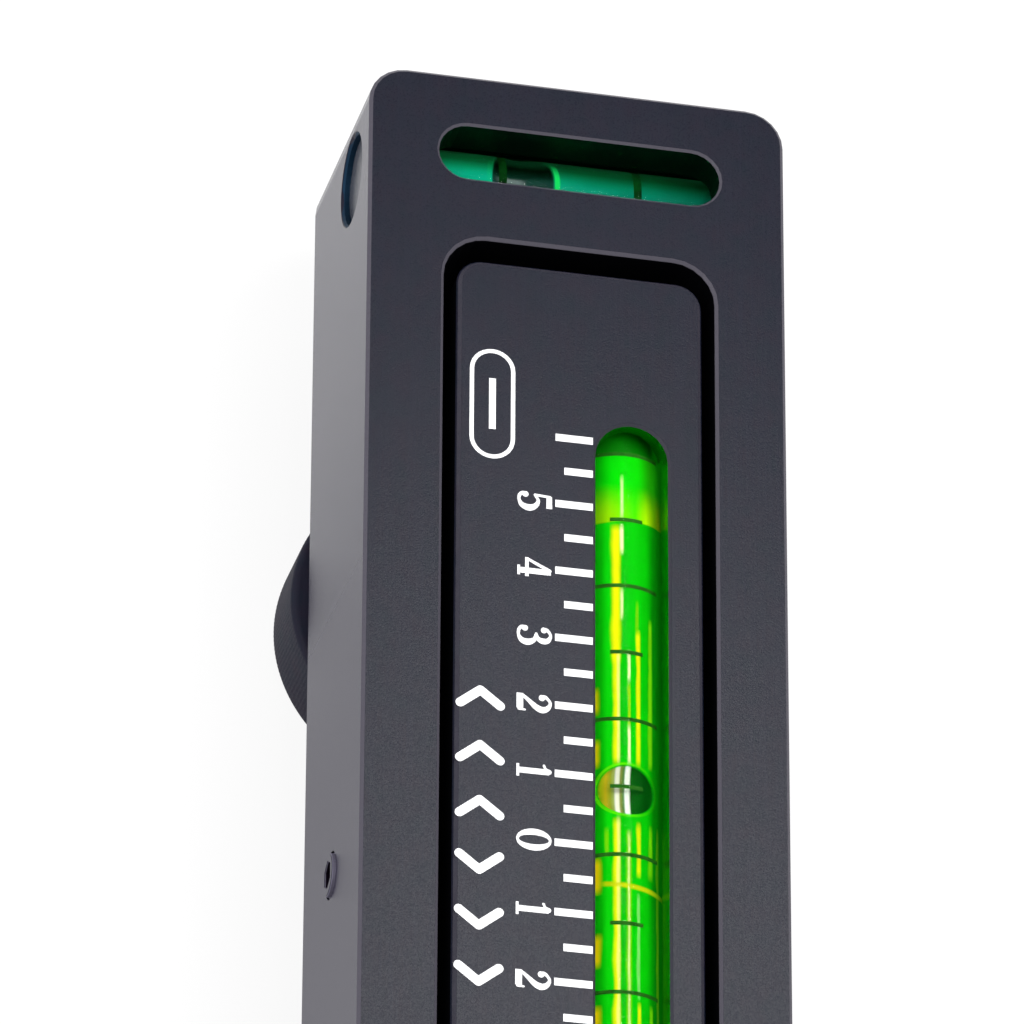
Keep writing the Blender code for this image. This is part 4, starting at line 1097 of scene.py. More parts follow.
def camber_liquid(window_low, window_width):
    """Green level liquid as the clear wall shows it, with painted streaks of light, painted light
    and shade in its zones, and the bubble with painted highlights.
    """
    vials = bpy.context.scene.gauge_vials
    scale = bpy.context.scene.gauge_scale
    material, tree, shader = new_material("camber_level_liquid", **LIQUID_LOOKS)
    if tree is None:
        return material
    across, along = across_and_along(tree, "X", "Y", window_low, window_width)
    degrees = over(tree, minus(tree, along, ZERO_PLACE / MM), scale.degree_pitch / MM)
    colour = long_vial_colour(tree, across, degrees, np.array(vials.camber_colour))
    # Painted light and shade inside the bubble: pale highlights between dark bands
    inside = ramp(tree, across, [
        (0.11, (0.02, 0.22, 0.002)), (0.17, (0.26, 0.34, 0.004)), (0.24, (0.50, 0.36, 0.01)),
        (0.30, (0.30, 0.34, 0.02)), (0.345, (0.30, 0.36, 0.10)), (0.37, (0.84, 0.80, 0.68)),
        (0.405, (0.86, 0.82, 0.66)), (0.43, (0.24, 0.26, 0.05)), (0.475, (0.06, 0.20, 0.04)),
        (0.50, (0.90, 0.94, 0.86)), (0.54, (0.88, 0.94, 0.80)), (0.57, (0.004, 0.10, 0.006)),
        (0.78, (0.001, 0.055, 0.003)), (0.96, (0.001, 0.09, 0.003))])
    reach = reach_mark(tree)
    colour = bubble_colour(tree, reach, colour, inside)
    # Painted highlight: a bright rim round the bubble
    rim = times(tree, band(tree, reach, RIM_START, 1.09, 0.04),
                map_range(tree, across, 0.9, 0.3, 0.05, 0.6))
    colour = mix(tree, rim, colour, (0.16, 0.80, 0.003))
    # Painted glow: emission, with another green at the far side of the window
    paint_liquid(tree, shader, colour, map_range(tree, across, 0.84, 0.93), (0.004, 0.66, 0.004))
    return material


# Painted shade along the cross vial, darker towards +X, as shares of its reach to both sides in
# millimetres and of the colour; and the painted reflection of a streak in its bubble, in shares
# and millimetres
LEVEL_REACH = 14.0
LEVEL_PAINTED_SHADE_SHARES = ((0.0, 1.0), (0.10, 1.0), (0.48, 0.74), (0.72, 0.57), (0.90, 0.49),
                       (0.955, 0.36), (1.0, 0.28))
GLINT = {"Place": 0.47, "Half_Width": 0.08, "Start": -7.4, "End": -3.9, "Fade": 0.9}


def level_liquid(window_low, window_width):
    """Blue-green level liquid of the cross vial, painted bright along its hub side and painted
    dark beyond, as painted shade under the slot's wall.
    """
    vials = bpy.context.scene.gauge_vials
    material, tree, shader = new_material("level_liquid_blue_green", **LIQUID_LOOKS)
    if tree is None:
        return material
    main = np.array(vials.level_colour)
    across, along = across_and_along(tree, "Y", "X", window_low, window_width)
    # Painted light and shade across the slot: bright on the hub side, dark beyond
    colour = ramp(tree, across, [
        (0.0, main), (0.44, main), (0.53, main * (1.0, 0.86, 0.74)),
        (0.64, main * (1.0, 0.52, 0.34)), (0.75, main * (0.8, 0.25, 0.12)),
        (0.91, main * (0.6, 0.15, 0.07)), (1.0, main * (0.5, 0.10, 0.04))])
    # Painted shade along the vial
    painted_shade_along = ramp(tree, map_range(tree, along, -LEVEL_REACH, LEVEL_REACH),
                  [(place, (share,) * 3) for place, share in LEVEL_PAINTED_SHADE_SHARES])
    colour = mix(tree, 1.0, colour, painted_shade_along, blend="MULTIPLY")
    # Painted shade inside the bubble, with a painted glint
    inside = ramp(tree, across, [
        (0.20, (0.016, 0.045, 0.045)), (0.50, (0.006, 0.040, 0.030)), (0.60, (0.001, 0.014, 0.008)),
        (0.75, (0.0, 0.004, 0.001))])
    glint = use_group(tree, "Vial Streak", Across=across, Along=along, **GLINT)["Mask"]
    inside = mix(tree, times(tree, glint, 0.9), inside, (0.15, 0.19, 0.19))
    reach = reach_mark(tree)
    colour = bubble_colour(tree, reach, colour, inside)
    bubble = vials.level_bubble / MM
    # Painted highlight: a bright rim round the bubble
    rim = times(tree, band(tree, reach, RIM_START, 1.13, 0.06), map_range(tree, across, 0.95, 0.55))
    rim = times(tree, rim, map_range(tree, along, bubble, bubble + 1.0, 0.1, 1.0))
    colour = mix(tree, rim, colour, (0.008, 0.66, 0.11))
    # Painted glow: emission, with a darker colour of its own at the far side
    paint_liquid(tree, shader, colour, map_range(tree, across, 0.74, 0.95), (0.01, 0.16, 0.05))
    return material


# Pieces

def join_materials(node, material):
    """Give a carried-over solid its material in every slot."""
    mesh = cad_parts[node].data
    if not mesh.materials:
        mesh.materials.append(material)
    for index in range(len(mesh.materials)):
        mesh.materials[index] = material


def side_box(low_x, high_x, middle, reach):
    """Corners of a box between two places along X, round a middle in Y and Z."""
    return ((low_x, middle.y - reach, middle.z - reach), (high_x, middle.y + reach, middle.z + reach))


class GAUGE_OT_bar(bpy.types.Operator):
    """Dress the bar, the vial carrier and the bore's plug in black anodising."""

    bl_idname = "gauge.bar"
    bl_label = "Bar and Carrier"

    RIM = 0.35 * MM
    SLOT_RIM = 0.28 * MM
    CARRIER_RIM = 0.5 * MM
    CARRIER_CHAMFER_SHARE = 0.35
    POCKET_GAP = (1.35 * MM, 2.35 * MM)
    SLOT_HALF_LENGTH = 14.25 * MM
    PIVOT_HOLE = 2.45 * MM
    SKIN = 0.06 * MM
    DEEP = 1.0 * MM
    DULL = 0.85
    # Painted sheen: the bore plug's face is painted as pale as the bar's side, though it lies in the
    # bore's shade
    PLUG_COLOUR = (0.060, 0.062, 0.074)
    # Painted shade in the level vial's slot, with a green painted reflection of its liquid; in the level
    # bore, tinted blue as painted light; and in the pivot holes
    SLOT_LOOK = ((0.004, 0.036, 0.016), 0.5)
    BORE_LOOK = ((0.012, 0.034, 0.066), 0.6)
    PIVOT_LOOK = ((0.020, 0.018, 0.035), DULL)
    # Painted reflection: the window's walls are painted green, as if they mirrored the long vial's
    # liquid
    WINDOW_LOOK = ((0.02, 0.60, 0.02), 0.2)

    def execute(self, context):
        # Painted shade deep in the recesses, below the front's rims
        dark = (context.scene.gauge_finish.recess_colour, self.DULL)
        self.bar(dark)
        self.carrier(dark)
        join_materials("level_bore_plug", anodised("anodised_bore_plug", *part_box("level_bore_plug"),
                                                   painted_side_sheen=self.PLUG_COLOUR))
        return {"FINISHED"}

    def bar(self, dark):
        """The bar, with painted shade in its pocket, its slot and the holes in its sides."""
        gap_x, gap_y = self.POCKET_GAP
        front = BAR_HIGH.z
        pocket = ((CARRIER_LOW.x - gap_x, CARRIER_LOW.y - gap_y, BAR_LOW.z + self.DEEP),
                  (CARRIER_HIGH.x + gap_x, CARRIER_HIGH.y + gap_y, front - self.RIM + self.SKIN))
        radius = (LEVEL_HIGH.z - LEVEL_LOW.z) / 2 + self.RIM
        left, right = (LEVEL_MIDDLE.x + sign * self.SLOT_HALF_LENGTH for sign in (-1, 1))
        slot = ((left, LEVEL_MIDDLE.y - radius, LEVEL_LOW.z),
                (right, LEVEL_MIDDLE.y + radius, front - self.SLOT_RIM))
        bore = side_box(BAR_LOW.x + self.SKIN, left, LEVEL_MIDDLE, radius)
        pivots = side_box(BAR_LOW.x + self.SKIN, BAR_HIGH.x - self.SKIN, BAR_MIDDLE, self.PIVOT_HOLE)
        recesses = ((*pocket, *dark), (*slot, *self.SLOT_LOOK), (*bore, *self.BORE_LOOK),
                    (*pivots, *self.PIVOT_LOOK))
        join_materials("body", anodised("anodised_bar", BAR_LOW, BAR_HIGH, self.RIM, recesses,
                                        painted_side_sheen=SIDE_PAINTED_SHEEN))

    def carrier(self, dark):
        """The carrier, with painted shade below its rim and a painted green reflection inside its
        window.
        """
        deep = Vector((self.DEEP, self.DEEP, self.DEEP))
        under = CARRIER_HIGH + deep
        under.z = CARRIER_HIGH.z - self.CARRIER_RIM
        half = WINDOW_HALF_WIDTH + self.CARRIER_RIM
        window = ((CAMBER_MIDDLE.x - half, CAMBER_LOW.y, CAMBER_LOW.z),
                  (CAMBER_MIDDLE.x + half, CAMBER_HIGH.y, CARRIER_HIGH.z - self.SLOT_RIM))
        recesses = ((CARRIER_LOW - deep, under, *dark), (*window, *self.WINDOW_LOOK))
        join_materials("vial_carrier", anodised("anodised_carrier", CARRIER_LOW, CARRIER_HIGH, self.RIM,
                                                recesses, chamfer_share=self.CARRIER_CHAMFER_SHARE))


class GAUGE_OT_scale(bpy.types.Operator):
    """Print the degree scale, its figures and plain signs on the carrier."""

    bl_idname = "gauge.scale"
    bl_label = "Printed Scale"

    SIGN_PLACE = PANEL_MIDDLE - 8.74 * MM
    SIGN_HALF_WIDTH = 2.05 * MM
    SIGN_REACH_SHARES = (5.60, 7.20)
    SIGN_STROKE = 0.42 * MM
    BAR_STROKE = SIGN_STROKE * 0.8
    BAR_LENGTH_SHARE = 0.24
    CROSSBAR_REACH = SIGN_HALF_WIDTH * 0.56
    LOOP_STEPS = 14
    CHEVRON_PLACE = PANEL_MIDDLE - 9.74 * MM
    CHEVRON_HALF_WIDTH = 1.95 * MM
    CHEVRON_DEPTH = 1.5 * MM
    CHEVRON_STROKE = 0.46 * MM
    CHEVRON_PITCH_SHARE = 0.80
    CHEVRON_COUNT = 3

    def execute(self, context):
        settings = context.scene.gauge_scale
        ink = print_ink()
        for name, draw in (("scale_ticks", self.ticks), ("scale_figures", self.figures),
                           ("scale_signs", self.signs)):
            shell = Shell()
            draw(shell, settings, settings.ink_thickness)
            shell.finish(name, ink, "carrier", "black_anodised", smooth=False)
        return {"FINISHED"}

    @staticmethod
    def ticks(shell, settings, thickness):
        """A long tick for each degree and a short one for each half."""
        end = PANEL_MIDDLE + settings.tick_end
        for half_degree in range(-2 * settings.degrees, 2 * settings.degrees + 1):
            reach = settings.short_tick if half_degree % 2 else settings.long_tick
            place = ZERO_PLACE + half_degree * settings.degree_pitch / 2
            path = straight((end - reach, place), (end, place), settings.tick_width / 2)
            shell.grid(ribbon(path, thickness), caps=True)

    @staticmethod
    def figures(shell, settings, thickness):
        """The figures 0 to 5 on both sides of zero."""
        for degree in range(1 - settings.degrees, settings.degrees):
            corner = (PANEL_MIDDLE + settings.figure_base, ZERO_PLACE + degree * settings.degree_pitch)
            if degree == 0:
                zero = on_panel(zero_stroke(), corner, settings)
                shell.grid(ring_of_print(zero, thickness), wrap_rows=True)
                continue
            lift = 0.0
            for path, round_ends in FIGURE_STROKE_SHARES[str(abs(degree))]:
                path = smooth_path(path) if len(path) > 2 else path
                path = on_panel(path, corner, settings)
                shell.grid(ribbon(path, thickness + lift, round_ends), caps=True)
                lift += thickness * CROSSING_SHARE

    def signs(self, shell, settings, thickness):
        """A minus in a loop towards the free end, a plus towards the hub, and chevrons."""
        raised = thickness * (1 + CROSSING_SHARE)
        centre = self.SIGN_PLACE
        for sign in (1, -1):
            low, high = sorted(ZERO_PLACE + sign * share * settings.degree_pitch
                               for share in self.SIGN_REACH_SHARES)
            shell.grid(ring_of_print(self.loop(low, high), thickness), wrap_rows=True)
            middle = (low + high) / 2
            arm = (high - low) * self.BAR_LENGTH_SHARE
            bar = straight((centre, middle - arm), (centre, middle + arm), self.BAR_STROKE)
            shell.grid(ribbon(bar, thickness), caps=True)
            if sign < 0:
                crossbar = straight((centre - self.CROSSBAR_REACH, middle),
                                    (centre + self.CROSSBAR_REACH, middle), self.BAR_STROKE)
                shell.grid(ribbon(crossbar, raised), caps=True)
        step = self.CHEVRON_PITCH_SHARE * settings.degree_pitch
        for number in range(self.CHEVRON_COUNT):
            for sign in (1, -1):
                tip = ZERO_PLACE + sign * ((number + 0.5) * step + self.CHEVRON_DEPTH / 2)
                foot = tip - sign * self.CHEVRON_DEPTH
                for side, height in ((1, raised), (-1, thickness)):
                    path = straight((self.CHEVRON_PLACE, tip),
                                    (self.CHEVRON_PLACE + side * self.CHEVRON_HALF_WIDTH, foot),
                                    self.CHEVRON_STROKE)
                    shell.grid(ribbon(path, height, True), caps=True)

    def loop(self, low, high):
        """A loop with straight sides and round ends, as (x, y, half width)."""
        radius = self.SIGN_HALF_WIDTH
        turn = math.pi * np.arange(self.LOOP_STEPS + 1) / self.LOOP_STEPS
        far_end = np.column_stack([self.SIGN_PLACE + radius * np.cos(turn),
                                   high - radius + radius * np.sin(turn)])
        near_end = np.column_stack([self.SIGN_PLACE - radius * np.cos(turn),
                                    low + radius - radius * np.sin(turn)])
        path = np.concatenate([far_end, near_end])
        return np.column_stack([path, np.full(len(path), self.SIGN_STROKE / 2)])


# Rows of a liquid, coarse and, round the bubble, fine; how far the fine ones run, in bubble
# half lengths; its sides; and the largest value of the reach that its points keep
COARSE_ROWS = 1.0 * MM
FINE_ROWS = 0.08 * MM
FINE_REACH = 1.6
LIQUID_SIDES = 160
FAR_REACH = 3.0

# A vial's clear shell, the room at the ends of its liquid, its rings' height over the liquid
# and their steps, and its plugs
VIAL_SIDES = 128
VIAL_EDGE = 0.1 * MM
LIQUID_END_ROOM = 0.2 * MM
RING_GAP = 0.004 * MM
RING_THICKNESS = 0.02 * MM
RING_STEPS = 24
PLUG_SIDES = 48
PLUG_EDGE = 0.25 * MM
PLUG_MIDDLE = 0.02 * MM


def vial_rows(half_length, bubble_place, bubble_reach):
    """Places of the rows along a vial: fine round the bubble and coarse elsewhere."""
    low, high = (bubble_place + sign * FINE_REACH * bubble_reach for sign in (-1, 1))
    count = max(2, int((half_length - high) / COARSE_ROWS))
    return np.concatenate([np.arange(-half_length, low, COARSE_ROWS), np.arange(low, high, FINE_ROWS),
                           np.linspace(high, half_length, count)])


def liquid_column(radius, half_length, bubble):
    """The liquid as a cylinder with a dent for its bubble, along local Z with its top at +X.

    With s the arc from the bubble's middle and h the place along it,
    e = (s / a)^2 + ((h - b) / c)^2 is below 1 in the bubble, where the radius drops by
    depth * sqrt(1 - e). bubble is (place, side arc, half arc, half length, depth). Each point
    keeps sqrt(e) as its reach, for the bubble's colour and its bright rim.
    """
    place, side_arc, half_arc, half_bubble, depth = bubble
    angle = full_circle(LIQUID_SIDES)
    arc = radius * ((angle + math.pi) % FULL_TURN - math.pi) - side_arc
    height = vial_rows(half_length, place, half_bubble)[:, None]
    reach = (arc[None, :] / half_arc) ** 2 + ((height - place) / half_bubble) ** 2
    wall = radius - depth * np.sqrt(np.clip(1 - reach, 0.0, 1.0))
    return around(wall, angle, height), {"reach": np.clip(np.sqrt(reach), 0.0, FAR_REACH)}


def vial_turn(points, axis, middle):
    """Set a vial's points, whose local Z is its axis and local +X its top, in the row frame."""
    axis = np.array(axis, float)
    top = np.array((0.0, 0.0, 1.0))
    return points @ np.stack([top, np.cross(axis, top), axis]) + np.array(middle, float)


def ring_patch(radius, place, half_width, half_angle):
    """A thin band over the top of a cylinder, as a grid of four-cornered rings."""
    angle = np.linspace(-half_angle, half_angle, RING_STEPS)
    corners = ((0.0, -1), (0.0, 1), (RING_THICKNESS, 1), (RING_THICKNESS, -1))
    return np.stack([around(radius + rise, angle, place + side * half_width)
                     for rise, side in corners], axis=1)


def make_vial(prefix, axis, low, high, body, liquid_material, bubble, rings, plug_finish, ends):
    """A clear shell, the liquid with its bubble, dark rings on it and a plug at each end.

    bubble is as liquid_column takes it; rings is a list of (place, half angle, width).
    """
    vials = bpy.context.scene.gauge_vials
    middle = (low + high) / 2
    radius = (high.z - low.z) / 2
    along = axis.index(1)
    half_length = (high[along] - low[along]) / 2
    inner = radius - vials.glass_wall
    profile = softened(sleeve(half_length, inner, radius), VIAL_EDGE)
    shell = Shell().grid(vial_turn(revolve(profile, VIAL_SIDES), axis, middle), wrap_rows=True)
    shell.finish(prefix + "_clear_tube", vial_glass(), body, "vial_glass", (prefix + "_tube",))
    column = inner - vials.liquid_gap
    points, marks = liquid_column(column, half_length - LIQUID_END_ROOM, bubble)
    shell = Shell().grid(vial_turn(points, axis, middle), caps=True)
    shell.finish(prefix + "_column", liquid_material, body, prefix.replace("vial", "liquid"),
                 (prefix + "_liquid",), marks)
    shell = Shell()
    for place, half_angle, width in rings:
        patch = ring_patch(column + RING_GAP, place, width / 2, half_angle)
        shell.grid(vial_turn(patch, axis, middle), caps=True)
    shell.finish(prefix + "_rings", ring_ink(prefix), body, "vial_plug")
    for end in ends:
        node = prefix + "_plug_" + end
        low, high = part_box(node)
        half_length = abs(Vector(axis).dot(high - low)) / 2
        profile = softened(sleeve(half_length, PLUG_MIDDLE, (high.z - low.z) / 2), PLUG_EDGE)
        points = put(revolve(profile, PLUG_SIDES), axis, (low + high) / 2)
        Shell().grid(points, caps=True).finish(node + "_moulded", plain_finish(plug_finish), body,
                                               "vial_plug", (node,))


class GAUGE_OT_camber_vial(bpy.types.Operator):
    """Make the long camber vial with its bubble, rings and plugs."""

    bl_idname = "gauge.camber_vial"
    bl_label = "Camber Vial"

    # Side arc, half arc, half length and depth of the bubble's dent
    BUBBLE = (0.08 * MM, 3.1 * MM, 2.55 * MM, 0.75 * MM)
    RING_HALF_ANGLE = math.radians(46.0)
    DASH_HALF_ANGLE = math.radians(21.0)

    def execute(self, context):
        vials = context.scene.gauge_vials
        degrees = context.scene.gauge_scale.degrees
        rings = [(vials.ring_shift + degree * vials.ring_pitch,
                  self.DASH_HALF_ANGLE if degree % 2 else self.RING_HALF_ANGLE, vials.ring_width)
                 for degree in range(-degrees, degrees + 1)]
        liquid = camber_liquid(CAMBER_MIDDLE.x - WINDOW_HALF_WIDTH, 2 * WINDOW_HALF_WIDTH)
        make_vial("camber_vial", (0, 1, 0), CAMBER_LOW, CAMBER_HIGH, "carrier", liquid,
                  (vials.camber_bubble, *self.BUBBLE), rings, "vial_plug_green",
                  ("hub_end", "free_end"))
        return {"FINISHED"}


class GAUGE_OT_level_vial(bpy.types.Operator):
    """Make the cross level's vial with its bubble, rings and plugs."""

    bl_idname = "gauge.level_vial"
    bl_label = "Cross Level Vial"

    # Side arc, half arc, half length and depth of the bubble's dent
    BUBBLE = (0.0, 5.2 * MM, 3.2 * MM, 0.7 * MM)
    RING_HALF_ANGLE = math.radians(60.0)
    SLOT_HALF_WIDTH = 2.95 * MM
    SLOT_PLACE = 0.22 * MM

    def execute(self, context):
        vials = context.scene.gauge_vials
        rings = [(side * vials.level_ring, self.RING_HALF_ANGLE, 2 * vials.ring_width)
                 for side in (-1, 1)]
        window_low = LEVEL_MIDDLE.y + self.SLOT_PLACE - self.SLOT_HALF_WIDTH
        liquid = level_liquid(window_low, 2 * self.SLOT_HALF_WIDTH)
        make_vial("level_vial", (1, 0, 0), LEVEL_LOW, LEVEL_HIGH, "bar", liquid,
                  (vials.level_bubble, *self.BUBBLE), rings, "vial_plug_blue", ("left", "right"))
        return {"FINISHED"}


class GAUGE_OT_knob(bpy.types.Operator):
    """Make the knurled knob and dress what turns with it."""

    bl_idname = "gauge.knob"
    bl_label = "Zeroing Knob"

    HUB_RADIUS = 7.0 * MM
    HUB_HEIGHT = 1.0 * MM
    DISH_DEPTH = 1.2 * MM
    DISH_SLOPE = 0.7 * MM
    BORE = 2.8 * MM
    ROUGHNESS = 0.6
    TONE = (2.0, 1.7, 1.6)
    EDGE_STEPS = 5
    TOOTH_POINTS = 4
    RIM_ROWS = 4
    RIM_MARGIN = 0.01 * MM
    LONG_STEP = 2.0 * MM
    KNURL_FADE = 0.06 * MM
    GRUB_EDGE = 0.25 * MM
    GRUB_SOCKET = (1.3 * MM, 1.5 * MM)
    GRUB_THREAD = (0.2 * MM, 0.5 * MM)

    def execute(self, context):
        self.knob(context.scene.gauge_knob)
        for node in ("lead_screw", "retaining_clip"):
            join_materials(node, plain_finish("bright_zinc_steel"))
        self.grub_screw()
        return {"FINISHED"}

    def profile(self, settings, radius):
        """The knob's section as (height, radius), its rim cut into rows."""
        top, bottom = KNOB_HIGH.z, KNOB_LOW.z
        rim_inner = radius - settings.rim
        corners = [(top, self.BORE), (top, self.HUB_RADIUS), (top - self.HUB_HEIGHT, self.HUB_RADIUS),
                   (top - self.HUB_HEIGHT, radius), (bottom, radius), (bottom, rim_inner),
                   (bottom + self.DISH_DEPTH, rim_inner - self.DISH_SLOPE),
                   (bottom + self.DISH_DEPTH, self.BORE)]
        start = softened(corners, settings.edge, self.EDGE_STEPS)
        step = np.roll(start, -1, axis=0) - start
        on_rim = (np.abs(step[:, 0]) > self.LONG_STEP) & (start[:, 1] > radius - self.RIM_MARGIN)
        count = np.where(on_rim, self.RIM_ROWS, 1)
        index = np.repeat(np.arange(len(start)), count)
        share = (np.arange(len(index)) - np.repeat(np.cumsum(count) - count, count)) / count[index]
        return start[index] + step[index] * share[:, None]

    def knob(self, settings):
        """The knob, turned and then knurled: radius less depth * (1 - cos(teeth * a)) / 2."""
        # A box whose edges lie far away, as the knob has no rubbed edges and no painted edge highlight
        far = Vector((1.0, 1.0, 1.0))
        material = anodised("anodised_knob", KNOB_MIDDLE - far, KNOB_MIDDLE + far,
                            rough=self.ROUGHNESS, tone=self.TONE)
        radius = (KNOB_HIGH.x - KNOB_LOW.x) / 2
        profile = self.profile(settings, radius)
        sides = self.TOOTH_POINTS * settings.knurl_teeth
        tooth = 0.5 - 0.5 * np.cos(settings.knurl_teeth * full_circle(sides))
        on_rim = np.clip((profile[:, 1:] - radius + self.KNURL_FADE) / self.KNURL_FADE, 0.0, 1.0)
        points = revolve(profile, sides)
        points[:, :, :2] *= (1 - settings.knurl_depth / radius * on_rim * tooth)[:, :, None]
        points = put(points, (0, 0, 1), (KNOB_MIDDLE.x, KNOB_MIDDLE.y, 0.0))
        Shell().grid(points, wrap_rows=True).finish("knurled_knob", material, "knob",
                                                    "black_anodised", ("adjusting_knob",))

    def grub_screw(self):
        """The small set screw that locks the knob on the lead screw."""
        low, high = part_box("knob_grub_screw")
        middle = (low + high) / 2
        length, radius, edge = high.y - low.y, (high.x - low.x) / 2, self.GRUB_EDGE
        levels = [(0.0, radius - edge), (edge, radius), (length - edge, radius), (length, radius - edge)]
        socket_screw("grub_screw", "knob", "black_steel", plain_finish("black_oxide_steel"),
                     "knob_grub_screw", (0, -1, 0), (middle.x, high.y, middle.z), levels,
                     self.GRUB_SOCKET, (2 * edge, length - 2 * edge, *self.GRUB_THREAD))


class GAUGE_OT_fasteners(bpy.types.Operator):
    """Make the pivot screws, washer, nut, spring and magnets, and dress the vial's plug."""

    bl_idname = "gauge.fasteners"
    bl_label = "Fasteners and Magnets"

    PIVOT_RADIUS = 2.35 * MM
    PIVOT_HEAD_RADIUS = 2.12 * MM
    PIVOT_PROUD = {"left": 0.35 * MM, "right": -0.04 * MM}
    PIVOT_EDGE = 0.12 * MM
    FLANK_INSET = 0.03 * MM
    # Painted sheen: the proud head's flank is painted pale, as if it mirrored the floor
    FLANK_LOOK = ((0.170, 0.160, 0.215), 0.7)
    PIVOT_SHOULDER = 1.7 * MM
    DOG_RADIUS = 1.5 * MM
    DOG_EDGE = 0.25 * MM
    PIVOT_SOCKET = (2.5 * MM, 2.2 * MM)
    SOCKET_ROOM = 1.2
    # Painted shade deep in the hexagon socket
    SOCKET_LOOK = ((0.006, 0.003, 0.008), 0.7)
    PIVOT_THREAD = (0.3 * MM, 0.8 * MM)
    CUP_WALL = 1.0 * MM
    CUP_BASE = 1.6 * MM
    SCREW_BORE = 1.6 * MM
    HEAD_HEIGHT = 1.4 * MM
    HEAD_GAP = 0.3 * MM
    SHANK_RADIUS = 1.3 * MM
    MAGNET_SOCKET = (2.0 * MM, 1.1 * MM)
    MAGNET_THREAD = (0.2 * MM, 0.5 * MM)
    NUT_BORE = 2.8 * MM
    WIRE_RADIUS = 0.35 * MM
    WIRE_SIDES = 16
    TURNS = 7
    TURN_POINTS = 40
    END_PITCH = 0.73 * MM

    def execute(self, context):
        join_materials("vial_bore_plug", plain_finish("turned_brass"))
        self.spring()
        self.ring("lift_nut", "turned_brass", "carrier", "brass")
        self.ring("friction_washer", "natural_nylon", "bar", "nylon")
        for side_name, sign in (("left", -1), ("right", 1)):
            self.pivot_screw(side_name, sign)
        for number in (1, 2):
            self.magnet(number)
        return {"FINISHED"}

    def ring(self, node, finish, body, slot):
        """A plain turned ring on the lead screw's axis."""
        low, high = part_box(node)
        profile = sleeve((high.z - low.z) / 2, self.NUT_BORE, (high.x - low.x) / 2)
        turned_piece(node, profile, (0, 0, 1), (low + high) / 2, finish, body, slot)

    def spring(self):
        """The spring under the carrier: a round wire wound in a helix with closed end turns.

        At turn t the wire's middle stands at (R cos 2 pi t, R sin 2 pi t) and its height rises by
        a little over the wire's width in the end turns and evenly between them.
        """
        low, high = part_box("backlash_spring")
        middle = (low + high) / 2
        wire_radius = self.WIRE_RADIUS
        bottom, top = low.z + wire_radius, high.z - wire_radius
        turn = np.linspace(0.0, self.TURNS, self.TURNS * self.TURN_POINTS + 1)[:, None]
        height = np.interp(turn, (0.0, 1.0, self.TURNS - 1.0, self.TURNS),
                           (bottom, bottom + self.END_PITCH, top - self.END_PITCH, top))
        section = full_circle(self.WIRE_SIDES)
        reach = (high.x - low.x) / 2 - wire_radius + wire_radius * np.cos(section)
        points = around(reach, FULL_TURN * turn, height + wire_radius * np.sin(section))
        points += (middle.x, middle.y, 0.0)
        piece = Shell().grid(points, caps=True).finish(
            "backlash_spring_wound", plain_finish("bright_zinc_steel"), None, "bright_steel",
            ("backlash_spring",))
        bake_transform(piece)

    def pivot_screw(self, side_name, sign):
        """A set screw in a side wall, its socket outside and its dog point in the carrier."""
        node = "pivot_screw_" + side_name
        low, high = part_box(node)
        proud, edge, dog_edge = self.PIVOT_PROUD[side_name], self.PIVOT_EDGE, self.DOG_EDGE
        face = (BAR_LOW.x if sign < 0 else BAR_HIGH.x) + sign * proud
        tip = abs((high.x if sign < 0 else low.x) - face)
        carrier_side = CARRIER_LOW.x if sign < 0 else CARRIER_HIGH.x
        shoulder = abs(carrier_side - face) - self.PIVOT_SHOULDER
        radius, head = self.PIVOT_RADIUS, self.PIVOT_HEAD_RADIUS
        seat = max(proud, 0.0) + edge
        levels = [(0.0, head - edge), (edge, head), (seat, head), (seat + edge, radius),
                  (shoulder - dog_edge, radius), (shoulder, self.DOG_RADIUS),
                  (tip - dog_edge, self.DOG_RADIUS), (tip, self.DOG_RADIUS - dog_edge)]
        inset = edge - proud
        socket = side_box(BAR_LOW.x + inset, BAR_HIGH.x - inset, BAR_MIDDLE,
                          self.PIVOT_SOCKET[0] / 2 * self.SOCKET_ROOM)
        flank = side_box(BAR_LOW.x - abs(proud) + self.FLANK_INSET, BAR_LOW.x + 2 * edge, BAR_MIDDLE,
                         2 * radius)
        # The screw's face takes the left side's painted sheen, its flank a painted sheen and its socket
        # painted shade
        material = anodised("blackened_screw_" + side_name, BAR_LOW, BAR_HIGH, recesses=(
            (*flank, *self.FLANK_LOOK), (*socket, *self.SOCKET_LOOK)), painted_side_sheen=SIDE_PAINTED_SHEEN)
        socket_screw(node + "_turned", "bar", "black_steel", material, node, (-sign, 0, 0),
                     (face, BAR_MIDDLE.y, BAR_MIDDLE.z), levels, self.PIVOT_SOCKET,
                     (2 * dog_edge, shoulder - 2 * dog_edge, *self.PIVOT_THREAD))

